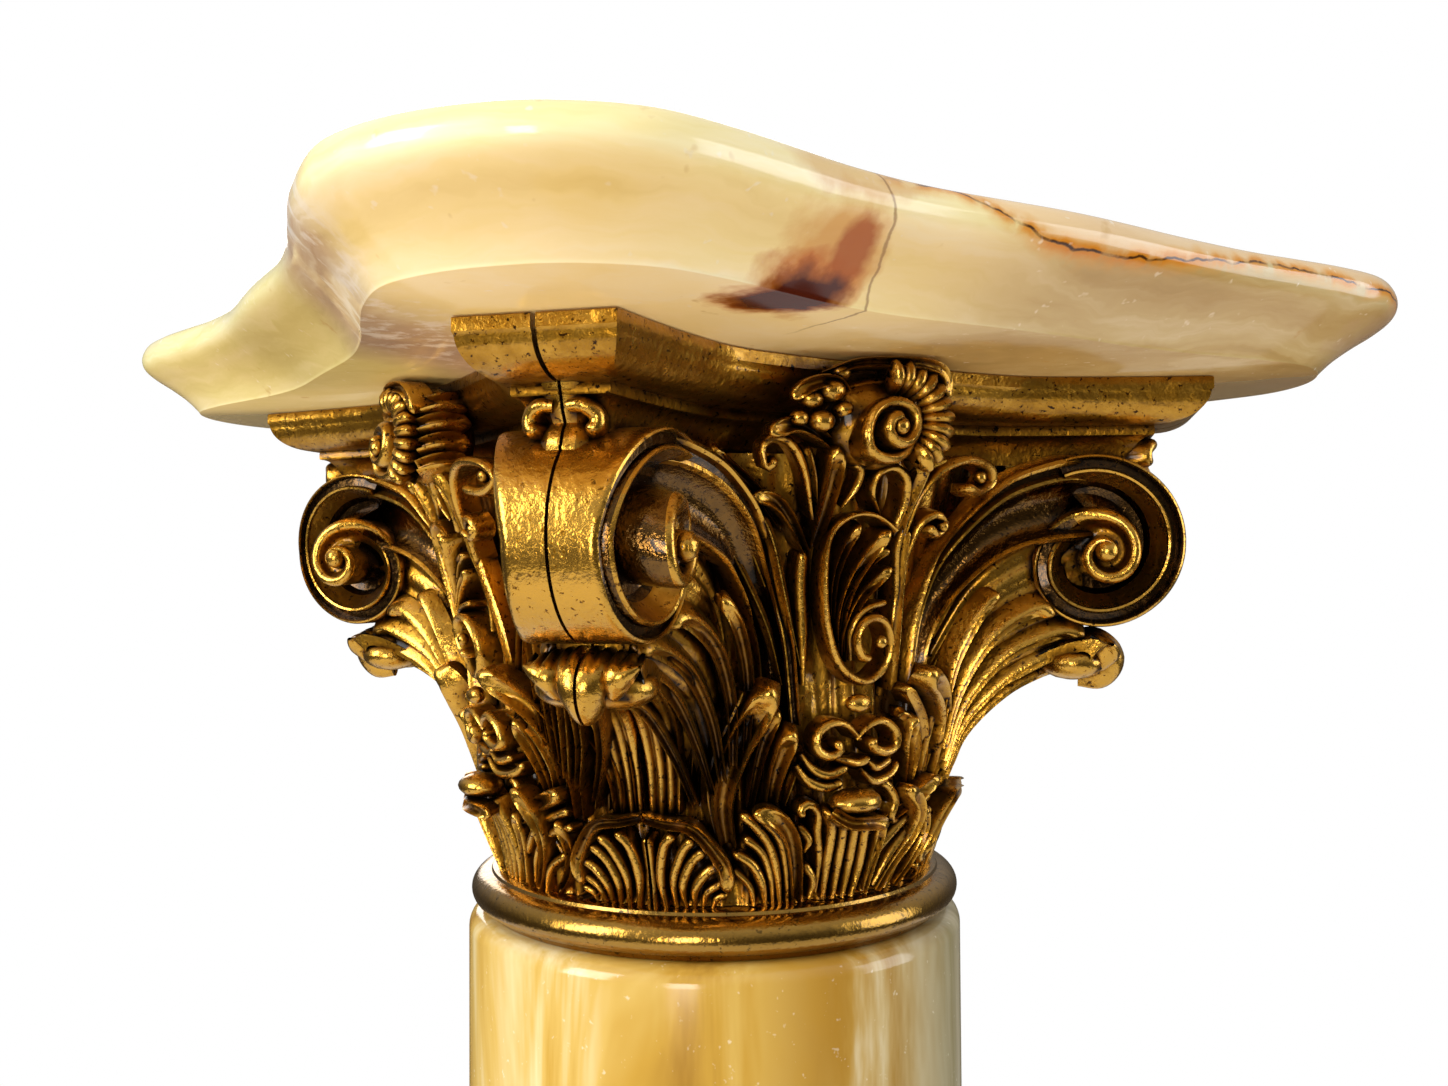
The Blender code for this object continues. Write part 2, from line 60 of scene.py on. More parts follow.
lens = bpy.data.cameras.new("camera")
lens.sensor_width = 36.0
lens.lens = FOCAL_PIXELS / PICTURE_PIXELS * lens.sensor_width
lens.clip_start = 0.01
camera = bpy.data.objects.new("camera", lens)
bpy.context.scene.collection.objects.link(camera)
camera.location = (CAMERA_REACH * sin(CAMERA_BEARING), -CAMERA_REACH * cos(CAMERA_BEARING), CAMERA_HEIGHT)
heading = Matrix.Rotation(CAMERA_BEARING + CAMERA_PAN, 4, "Z")
tip = Matrix.Rotation(pi / 2 + CAMERA_TIP, 4, "X")
roll = Matrix.Rotation(CAMERA_ROLL, 4, "Z")
camera.rotation_euler = (heading @ tip @ roll).to_euler()
bpy.context.scene.camera = camera


# Studio: a plain pale floor, a white surround and four soft lamps. Polished brass needs something dark to
# mirror as well, so what it mirrors falls off from white overhead to a warm grey at the horizon and below.
def linear(code):
    """An sRGB hex colour as linear RGBA."""
    parts = [int(code[i : i + 2], 16) / 255 for i in (1, 3, 5)]
    return (*(p / 12.92 if p <= 0.04045 else ((p + 0.055) / 1.055) ** 2.4 for p in parts), 1.0)


def put(tree, kind, inputs=None, stops=None, **settings):
    """Adds a shader node: settings are its own, inputs are values or links, stops fill a colour ramp."""
    made = tree.nodes.new("ShaderNode" + kind)
    for name, value in settings.items():
        setattr(made, name, value)
    for socket, value in (inputs or {}).items():
        if isinstance(value, bpy.types.Node):
            value = value.outputs[0]
        if isinstance(value, bpy.types.NodeSocket):
            tree.links.new(value, made.inputs[socket])
        else:
            made.inputs[socket].default_value = value
    if stops:
        points = made.color_ramp.elements
        while len(points) < len(stops):
            points.new(0.5)
        for point, (place, colour) in zip(points, stops):
            point.position = place
            point.color = linear(colour) if isinstance(colour, str) else (colour, colour, colour, 1.0)
    return made


def new_material(name, **sockets):
    """A material whose shader takes its even values here; its tree is returned with the shader."""
    made = bpy.data.materials.new(name)
    made.use_nodes = True
    shader = made.node_tree.nodes["Principled BSDF"]
    for socket, value in sockets.items():
        shader.inputs[socket.replace("_", " ")].default_value = value
    return made, made.node_tree, shader


def mesh_piece(name, points, faces):
    mesh = bpy.data.meshes.new(name)
    mesh.from_pydata(points, [], faces)
    mesh.validate()
    mesh.shade_smooth()
    thing = bpy.data.objects.new(name, mesh)
    bpy.context.scene.collection.objects.link(thing)
    return thing


world = bpy.data.worlds.new("studio")
bpy.context.scene.world = world
world.use_nodes = True
tree = world.node_tree
surround = tree.nodes["Background"]
aim = put(tree, "TexCoord").outputs["Generated"]
rise = put(tree, "SeparateXYZ", {0: aim}).outputs["Z"]
ROOM = ((0.0, "#6A6050"), (0.42, "#4C473E"), (0.55, "#6E6A62"), (0.75, "#C4C2BE"), (1.0, "#F8F8F8"))
level = put(tree, "MapRange", {0: rise, 1: -1.0, 2: 1.0})
mirrored = put(tree, "ValToRGB", {"Fac": level}, ROOM)
seen = put(tree, "LightPath").outputs["Is Camera Ray"]
whole = put(tree, "MixRGB", {"Fac": seen, "Color1": mirrored, "Color2": linear("#FFFFFF")})
tree.links.new(whole.outputs[0], surround.inputs["Color"])
bpy.context.scene.view_settings.view_transform = "Standard"

# matt paint: flat and pale, so that the floor lights the piece from below without a highlight of its own
floor_paint, tree, shader = new_material("matt_white_paint", Base_Color=linear("#E2E0DC"), Roughness=0.9)
FLOOR_RADIUS = 1.5
FLOOR_SIDES = 96
FLOOR_DROP = 0.0005
turns = [k * tau / FLOOR_SIDES for k in range(FLOOR_SIDES)]
rim = [(FLOOR_RADIUS * cos(turn), FLOOR_RADIUS * sin(turn), -FLOOR_DROP) for turn in turns]
floor = mesh_piece("floor", rim, [tuple(range(FLOOR_SIDES))])
floor.data.materials.append(floor_paint)


def soft_lamp(name, bearing, reach, height, size, power, warmth="#FFFFFF", aim=0.95):
    """A soft box that stands at a bearing in degrees round from the front face and looks at the axis."""
    lamp = bpy.data.lights.new(name, "AREA")
    lamp.shape = "RECTANGLE"
    lamp.size, lamp.size_y = size
    lamp.energy = power
    lamp.color = linear(warmth)[:3]
    thing = bpy.data.objects.new(name, lamp)
    bpy.context.scene.collection.objects.link(thing)
    turn = radians(bearing)
    thing.location = (reach * sin(turn), -reach * cos(turn), height)
    thing.rotation_euler = (Vector((0, 0, aim)) - thing.location).to_track_quat("-Z", "Y").to_euler()


soft_lamp("window_left", -88, 1.7, 1.45, (0.7, 1.2), 27)
soft_lamp("strip_front", -44, 1.6, 0.86, (0.34, 0.7), 10, "#FFF8EE", aim=0.90)
soft_lamp("window_right", 50, 1.8, 1.15, (0.9, 1.3), 14, "#F4F8FF")
soft_lamp("back_light", 160, 1.8, 1.6, (1.2, 1.2), 14)


# Foot: a small square step on a wider square plinth, both sawn from honey onyx, with their corners cut off
# and their top edges eased. They lie one on the other, and the column stands on them.
def ring_faces(rows, count):
    """The faces of a closed body through rows of rings, each of one point count."""
    faces = []
    for r in range(rows - 1):
        for c in range(count):
            a, b = r * count + c, r * count + (c + 1) % count
            faces.append((a, b, b + count, a + count))
    faces.append(tuple(range(count))[::-1])
    faces.append(tuple(range((rows - 1) * count, rows * count)))
    return faces


def lofted(name, rings):
    """Closed body through rings of one point count, each an (n, 3) array."""
    return mesh_piece(name, np.vstack(rings).tolist(), ring_faces(len(rings), len(rings[0])))


def onyx(name):
    """A polished stone without its colours: its tree, its shader and where each spot of it is, in metres."""
    made, tree, shader = new_material(name, Roughness=0.13, Specular_IOR_Level=0.45)
    place = put(tree, "TexCoord").outputs["Object"]
    return made, tree, shader, place


# Polished honey onyx: wet, deep and banded. Pale flames run up it, an amber band divides them, and one side
# turns to a grey cream with white flecks.
HONEY = ((0.30, "#9E7228"), (0.42, "#C49A40"), (0.52, "#D5B260"), (0.62, "#E6D29C"), (0.74, "#E2D6B2"))
GREY_CREAM = ((0.34, "#A0956F"), (0.50, "#CABF9F"), (0.62, "#E4DCC6"), (0.72, "#F8F4EA"))
honey_onyx, tree, shader, place = onyx("polished_honey_onyx")
# noise at 26 to the metre makes flames about 40 mm wide, and they are drawn out to six times that upward
drawn = put(tree, "Mapping", {"Vector": place, "Scale": (1.0, 1.0, 0.16)})
grain = {"Vector": drawn, "Scale": 26.0, "Detail": 5.0, "Roughness": 0.62, "Distortion": 0.6}
flames = put(tree, "TexNoise", grain)
tone = put(tree, "ValToRGB", {"Fac": flames}, HONEY)
side = put(tree, "VectorMath", {0: place, 1: (11.5, -6.5, 0.0)}, operation="DOT_PRODUCT")
wander = put(tree, "Math", {0: flames, 1: 0.9, 2: side.outputs["Value"]}, operation="MULTIPLY_ADD")
# an amber band marks where the honey side meets the grey one
off_band = put(tree, "Math", {0: wander, 1: 0.80}, operation="SUBTRACT")
off_band = put(tree, "Math", {0: off_band}, operation="ABSOLUTE")
amber = put(tree, "MapRange", {0: off_band, 1: 0.26, 2: 0.04, 3: 0.0, 4: 0.75})
tone = put(tree, "MixRGB", {"Fac": amber, "Color1": tone, "Color2": linear("#A97C2C")})
grey = put(tree, "MapRange", {0: wander, 1: 0.88, 2: 1.20})
pale = put(tree, "ValToRGB", {"Fac": flames}, GREY_CREAM)
tone = put(tree, "MixRGB", {"Fac": grey, "Color1": tone, "Color2": pale})
# white flecks spaced about 3 mm
flecks = put(tree, "TexNoise", {"Vector": place, "Scale": 330.0, "Detail": 2.0, "Roughness": 0.8})
fleck = put(tree, "MapRange", {0: flecks, 1: 0.67, 2: 0.75, 3: 0.0, 4: 0.4})
tone = put(tree, "MixRGB", {"Fac": fleck, "Color1": tone, "Color2": linear("#F6EFD8")})
tree.links.new(tone.outputs[0], shader.inputs["Base Color"])


def canted_ring(side, cant, level):
    """A square with its corners cut off, side from the axis, with six points along each edge."""
    along = side - cant * sqrt(2)
    ring = []
    for k in range(4):
        for x, y in ((-along, -side), (along, -side)):
            turn = k * pi / 2
            ring.append((x * cos(turn) - y * sin(turn), x * sin(turn) + y * cos(turn)))
    dense = []
    for a, b in zip(ring, ring[1:] + ring[:1]):
        for s in np.linspace(0, 1, 7)[:-1]:
            dense.append((a[0] + (b[0] - a[0]) * s, a[1] + (b[1] - a[1]) * s, level))
    return np.array(dense)


# half the width of each block and how far its corners are cut back, in metres
BLOCKS = (("foot_step", "base_step", 0.114, 0.0152), ("foot_plinth", "base_plinth", 0.170, 0.0184))
TOP_ROUND = 0.004
FOOT_BEVEL = 0.0006
for name, node, side, cant in BLOCKS:
    low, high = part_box(node)
    rings = [canted_ring(side - FOOT_BEVEL, cant, low[2]), canted_ring(side, cant, low[2] + FOOT_BEVEL)]
    for turn in range(0, 91, 10):
        inset = TOP_ROUND * (1 - cos(radians(turn)))
        height = high[2] - TOP_ROUND * (1 - sin(radians(turn)))
        rings.append(canted_ring(side - inset, cant - inset * (sqrt(2) - 1), height))
    block = lofted(name, rings)
    block.data.set_sharp_from_angle(angle=radians(25))
    block.data.materials.append(honey_onyx)
    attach(block, "root")
    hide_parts(node)


# Foot ring: turned brass, aged and lacquered. Its round top holds the shaft's foot, and under a hollow it
# spreads to stand on the step.
GOLDEN_TURN = 2.39996
RAY_LIFT = 0.00008


def shade_hollows(thing, near, far):
    """Stores on each point how open it lies, 0 in a hollow to 1, from rays as long as near and far."""
    mesh = thing.data
    rays = 16
    places = np.empty(len(mesh.vertices) * 3)
    normals = np.empty(len(mesh.vertices) * 3)
    mesh.vertices.foreach_get("co", places)
    mesh.vertex_normals.foreach_get("vector", normals)
    tree = BVHTree.FromPolygons(places.reshape(-1, 3).tolist(), [face.vertices[:] for face in mesh.polygons])
    fan = [(sqrt((k + 0.5) / rays), k * GOLDEN_TURN, sqrt(1 - (k + 0.5) / rays)) for k in range(rays)]
    levels = []
    for k, (place, normal) in enumerate(zip(places.reshape(-1, 3), normals.reshape(-1, 3))):
        normal = Vector(normal)
        across = normal.orthogonal().normalized()
        along = normal.cross(across)
        start = Vector(place) + normal * RAY_LIFT
        total = 0.0
        for radius, turn, height in fan:
            turn += k * 0.7
            way = across * (radius * cos(turn)) + along * (radius * sin(turn)) + normal * height
            hit = tree.ray_cast(start, way, far)[3]
            total += 1.0 if hit is None else 0.5 * min(1.0, hit / near) + 0.5 * hit / far
        levels.append(total / rays)
    mesh.attributes.new("openness", "FLOAT", "POINT").data.foreach_set("value", levels)


def brass(name, stops, roughness, dents):
    """Brass whose tone and roughness follow how open it lies, under a thin clear lacquer."""
    made, tree, shader = new_material(name, Metallic=1.0, Coat_Weight=0.25, Coat_Roughness=0.10)
    place = put(tree, "TexCoord").outputs["Object"]
    # the tone darkens where a point lies closed in: patina in the hollows, and painted shade with it
    hollow = put(tree, "Attribute", attribute_name="openness").outputs["Fac"]
    # blotches of 6 mm, specks of dirt of under 2 mm, and dents of 2 mm and 9 mm
    blotch = put(tree, "TexNoise", {"Vector": place, "Scale": 160.0, "Detail": 4.0, "Roughness": 0.65})
    shift = put(tree, "Math", {0: blotch, 1: 0.5}, operation="SUBTRACT")
    level = put(tree, "Math", {0: shift, 1: 0.45, 2: hollow}, operation="MULTIPLY_ADD")
    dirt = put(tree, "TexNoise", {"Vector": place, "Scale": 620.0, "Detail": 2.0, "Roughness": 0.7})
    speck = put(tree, "MapRange", {0: dirt, 1: 0.60, 2: 0.70, 3: 0.0, 4: 0.45})
    level = put(tree, "Math", {0: level, 1: speck}, operation="SUBTRACT")
    tone = put(tree, "ValToRGB", {"Fac": level}, stops)
    tree.links.new(tone.outputs["Color"], shader.inputs["Base Color"])
    sheen = put(tree, "MapRange", {0: level, 1: 0.30, 2: 0.95, 3: roughness[0], 4: roughness[1]})
    tree.links.new(sheen.outputs[0], shader.inputs["Roughness"])
    grain = put(tree, "TexNoise", {"Vector": place, "Scale": 480.0, "Detail": 3.0, "Roughness": 0.6})
    soft = put(tree, "TexNoise", {"Vector": place, "Scale": 110.0, "Detail": 1.0})
    fine = put(tree, "Bump", {"Strength": dents, "Distance": 0.0006, "Height": grain})
    broad = put(tree, "Bump", {"Strength": dents, "Distance": 0.0010, "Height": soft, "Normal": fine})
    tree.links.new(broad.outputs[0], shader.inputs["Normal"])
    return made


def turned(name, profile, node, material, count=144):
    """Closed turned body from (radius, height) points, run from the top's middle to the foot's middle."""
    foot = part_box(node)[0][2]
    turns = np.arange(count) * tau / count
    rings = []
    for radius, height in profile:
        level = 0 * turns + foot + height
        rings.append(np.stack([radius * np.sin(turns), -radius * np.cos(turns), level], 1))
    thing = lofted(name, rings[::-1])
    thing.data.set_sharp_from_angle(angle=radians(35))
    thing.data.materials.append(material)
    if material is turned_brass:
        shade_hollows(thing, 0.004, 0.012)
    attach(thing, "root")
    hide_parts(node)


def bent(centre, radii, first, end, count):
    """Part of an oval as (radius, height) points, from its first bearing to its last in degrees."""
    turns = np.radians(np.linspace(first, end, count))
    return [(centre[0] + radii[0] * cos(t), centre[1] + radii[1] * sin(t)) for t in turns]


# Turned brass: dull gold with a brown cast, smoother than the castings and darker in its hollows, with patina
# and painted shade together.
TURNED = ((0.30, "#2A1E0A"), (0.55, "#5A431A"), (0.75, "#7A5C26"), (0.95, "#9C7630"))
turned_brass = brass("turned_brass", TURNED, (0.45, 0.22), 0.30)

# its outline as (radius, height) in metres: a round top, a hollow, and a foot with a small bevel
foot_ring = [(0.020, 0.030), (0.073, 0.030), *bent((0.077, 0.024), (0.006, 0.006), 80, -60, 18)]
foot_ring += [(0.0785, 0.0165), (0.0792, 0.0140), (0.0805, 0.0120), (0.0838, 0.0098), (0.088, 0.0085)]
foot_ring += [(0.0905, 0.0078), (0.091, 0.0070), (0.091, 0.0010), (0.090, 0.0), (0.020, 0.0)]
turned("foot_ring_turned", foot_ring, "base_ring", turned_brass)


# Shaft: one solid length of honey onyx, turned and polished, with a small round at each end. It stands on the
# foot ring and the neck ring rests on it.
edge = bent((0.070, 0.757), (0.005, 0.005), 90, 0, 10)
foot_edge = [(0.075, 0.002), (0.0744, 0.0006), (0.073, 0.0), (0.020, 0.0)]
turned("shaft_onyx", [(0.020, 0.762), *edge, *foot_edge], "shaft", honey_onyx, count=180)


# Neck ring: a fat turned torus of the same brass under a flat top that has gone dull. It covers the joint
# between the shaft and the capital.
neck = [(0.020, 0.0125), (0.0672, 0.0125), (0.0680, 0.0121), (0.0684, 0.0113)]
neck += [*bent((0.0684, 0.0062), (0.0058, 0.0050), 78, -75, 20), (0.0690, 0.0), (0.020, 0.0)]
turned("neck_ring_turned", neck, "neck_ring", turned_brass)


# Capital: four equal castings of brass that meet on the diagonals and stand on the neck ring, cast in sand,
# chased and gilt. One mesh serves all four. It is made about the axis of the front face, in millimetres above
# the capital's foot, and turned for the others.

# Gilt cast brass: sharp warm lights on the rubbed high parts beside near-black hollows, whose dark is patina
# with painted shade, over pits and dents.
GILT = ((0.22, "#0E0702"), (0.44, "#3A2207"), (0.62, "#7A5212"), (0.78, "#A47520"), (0.95, "#C6963A"))
cast_brass = brass("cast_gilt_brass", GILT, (0.55, 0.25), 0.45)
# Dark lacquered brass: the sunk bands of volutes and stalks, a smooth brown that mirrors only in patches.
LACQUER = ((0.20, "#100A05"), (0.45, "#2A1C0E"), (0.75, "#4C3518"), (0.95, "#6E4E22"))
dark_lacquer = brass("dark_lacquered_brass", LACQUER, (0.30, 0.16), 0.60)

SEAM = 0.4
BELL_HEIGHT = 117.2
BELL_FOOT_RADIUS = 62.5
BELL_FLARE = 17.0
ABACUS_RUBBED = 0.82
shells = []


def bell(height):
    share = np.clip(height / BELL_HEIGHT, 0.0, 1.0)
    return BELL_FOOT_RADIUS + BELL_FLARE * share**2


def eased(knots, count):
    """Smooth curve through knots of any dimension, as count points even in its parameter."""
    knots = np.array(knots, float)
    ends = np.vstack([2 * knots[0] - knots[1], knots, 2 * knots[-1] - knots[-2]])
    t = np.linspace(0, len(knots) - 1 - 1e-9, count)
    i = t.astype(int)
    f = (t - i)[:, None]
    a, b, c, d = ends[i], ends[i + 1], ends[i + 2], ends[i + 3]
    return 0.5 * (2 * b + (c - a) * f + (2 * a - 5 * b + 4 * c - d) * f**2 + (3 * b - a - 3 * c + d) * f**3)


def around(angle, radius, height):
    """Points at an angle in degrees round from the face's middle."""
    turn = np.radians(angle)
    return np.stack([radius * np.sin(turn), -radius * np.cos(turn), height + 0 * turn], -1)


def add_shell(points, faces, both=False, dark=(), rubbed=1.0):
    """Keeps one closed shell of the casting, and its mirror image where both is set.

    Dark faces are lacquered, and rubbed is how bright the shell has been worn, up to 1.
    """
    points = np.asarray(points, float)
    shells.append((points, faces, dark, rubbed))
    if both:
        shells.append((points * (-1, 1, 1), faces, dark, rubbed))


def add_rings(rings, both=False, dark=(), rubbed=1.0):
    """Keeps a closed shell through rings of one point count."""
    add_shell(np.vstack(rings), ring_faces(len(rings), len(rings[0])), both, dark, rubbed)


SPOON = (
    (-1, -1), (-1, 0.1), (-0.92, 0.75), (-0.76, 1.0), (-0.58, 0.66), (-0.40, 0.06), (-0.2, -0.06),
    (0, -0.08), (0.2, -0.06), (0.40, 0.06), (0.58, 0.66), (0.76, 1.0), (0.92, 0.75), (1, 0.1), (1, -1),
)
ROD = (
    (-1, -1), (-1, 0), (-0.82, 0.52), (-0.45, 0.88), (0, 1), (0.45, 0.88), (0.82, 0.52), (1, 0),
    (1, -1),
)
RIDGE = (
    (-1, -1), (-1, 0), (-0.7, 0.2), (-0.36, 0.5), (-0.12, 0.92), (0.12, 0.92), (0.36, 0.5), (0.7, 0.2),
    (1, 0), (1, -1),
)
SECTIONS = {"spoon": SPOON, "rod": ROD, "ridge": RIDGE}


def ball(centre, radius, stretch=(1, 1, 1), both=False):
    """A lump of nine rows of fourteen points, stretched along x, y and z."""
    rings = []
    turn = np.arange(14) * tau / 14
    for polar in (np.arange(9) + 0.5) * pi / 9:
        ring = np.stack([np.sin(turn) * sin(polar), np.cos(turn) * sin(polar), 0 * turn + cos(polar)], 1)
        rings.append(np.array(centre, float) + ring * radius * np.array(stretch))
    add_rings(rings, both)


def sweep(kind, half_width, rise, knots, foot=0.55, thick=6.0, both=False):
    """Closed blade along xyz knots. It widens from its foot, and a spoon's hollow fills to a round bud."""
    fine = eased(knots, 600)
    along = np.concatenate([[0], np.cumsum(np.linalg.norm(np.diff(fine, axis=0), axis=1))])
    length = along[-1]
    rounding = min((1.8 if kind == "spoon" else 1.2) * half_width, 0.4 * length)
    bends = np.linspace(0, pi / 2, 8)
    body = np.linspace(0, length - rounding, max(10, int(length / 1.5)))
    places = np.concatenate([body[:-1], length - rounding * (1 - np.sin(bends))])
    closes = np.concatenate([np.ones(len(body) - 1), np.maximum(np.cos(bends), 0.05)])
    path = np.stack([np.interp(places, along, fine[:, k]) for k in range(3)], 1)
    ahead = np.gradient(path, axis=0)
    ahead /= np.linalg.norm(ahead, axis=1)[:, None] + 1e-9
    section = np.array(SECTIONS[kind], float)
    dome = np.where(section[:, 1] > -0.9, np.sqrt(np.maximum(0.0, 1 - section[:, 0] ** 2)), -1.0)
    rings, front = [], None
    for spot, close, place, heading in zip(path, closes, places, ahead):
        outward = np.array([spot[0], spot[1], 0.0])
        outward /= np.linalg.norm(outward)
        if front is None:
            front = outward
        elif abs(heading @ outward) < 0.6:
            front = front * 0.6 + outward * 0.4
        front = front - heading * (front @ heading)
        front /= np.linalg.norm(front)
        side = np.cross(heading, front)
        gone = place / length
        wide = half_width * close * (foot + (1 - foot) * min(1.0, gone / (0.75 if kind == "spoon" else 0.4)))
        bud = min(1.0, max(0.0, (gone - 0.74) / 0.22)) if kind == "spoon" else 0.0
        level = section[:, 1] * (1 - bud) + dome * bud
        raised = level * rise * (0.3 + 0.7 * close) * (1 + 0.25 * bud)
        sunk = level * thick * (0.3 + 0.7 * close)
        lift = np.where(level > 0, raised, sunk)
        rings.append(spot + np.outer(section[:, 0] * wide, side) + np.outer(lift, front))
    add_rings(rings, both)


def strokes(table, both=False):
    """Blades on the bell, from (kind, half width, rise, ((angle, height, standing out), ...)) rows."""
    for kind, half_width, rise, knots in table:
        angle, height, out = np.array(knots, float).T
        path = around(angle, bell(height) + out, height)
        thick = 5.5 if kind == "spoon" else min(5.0, out.min() + 2.5)
        sweep(kind, half_width, rise, path, thick=thick, both=both)


# The bell behind the leaves is roughly fluted, so that no gap between blades is plain.
rings = []
turns = np.linspace(-47, 47, 150)
for height in np.linspace(0, 117, 44):
    flute = 0.8 * np.abs(np.sin(np.radians(turns) * 26 + 0.02 * height))
    flute += 0.5 * np.sin(np.radians(turns) * 61 + 0.1 * height)
    level = np.interp(height, (0, 8, 22, 60, 117), (1.5, 2.2, 2.5, 1.5, 0.6))
    outer = around(turns, bell(height) + level * (0.4 + flute), height)
    inner = around(turns[::-1], 40.0 + 0 * turns, height)
    rings.append(np.vstack([outer, inner]))
add_rings(rings)

# Traced work of one face: where each blade runs, in degrees round from the face's middle, millimetres above
# the capital's foot, and millimetres out from the bell.
CORNER_WORK = (
    ("rod", 1.4, 1.6, ((-44.3, -0.4, 2), (-44.7, 9.6, 4), (-44.7, 18.9, 7))),
    ("rod", 1.4, 1.6, ((-41.8, -0.3, 2), (-42.5, 8.2, 5), (-41.2, 16.7, 8), (-38.9, 20.5, 10))),
    ("rod", 1.4, 1.6, ((-39.4, 0.3, 2), (-39.6, 7.9, 5), (-37.3, 15.6, 8), (-34.9, 19.4, 10))),
    ("rod", 1.4, 1.6, ((-37.2, 0.6, 2), (-37.6, 6.3, 5), (-35.7, 12.4, 7), (-32.6, 16.4, 9))),
    ("rod", 1.4, 1.6, ((-35.2, 0.5, 2), (-34.8, 5.7, 5), (-32, 10.5, 7), (-28.9, 11.9, 7))),
    ("rod", 1.2, 1.5, ((-33.2, 0.4, 2), (-32.3, 4.4, 4), (-28.4, 7.4, 5))),
    ("rod", 1.2, 1.5, ((-31, 0.4, 2), (-30.1, 2.6, 3), (-27.8, 3.9, 4))),
    ("spoon", 2.1, 1.9, (
        (-45.6, 24.7, 10.5), (-40.6, 23.4, 11.5), (-35.4, 22.3, 11.5), (-31.6, 17.2, 9.5),
        (-28.7, 11.2, 7.5), (-27.8, 4.7, 4),
    )),
    ("spoon", 2.4, 2.4, ((-40.2, 25, 4), (-40.4, 39, 6.5), (-40.0, 50, 9.5), (-39.0, 58, 13))),
    ("ridge", 1.2, 1.6, ((-39.1, 26.6, 3), (-39.5, 39.4, 4), (-41.5, 52.8, 7), (-43.4, 59.9, 10))),
    ("ridge", 1.2, 1.6, ((-37.2, 27.5, 3), (-37.5, 39.5, 4), (-39, 51, 6), (-41, 59.9, 9))),
    ("ridge", 1.2, 1.6, ((-43, 26.5, 3), (-43.4, 38.6, 5), (-45.2, 49.4, 8), (-47, 54.9, 12))),
    ("ridge", 1.2, 1.6, ((-45.3, 26, 3), (-46.5, 37.8, 6), (-46.8, 47.7, 9))),
    ("ridge", 1, 1.4, ((-41.3, 27, 3), (-41.4, 38.7, 5), (-42.8, 50.3, 8))),
)
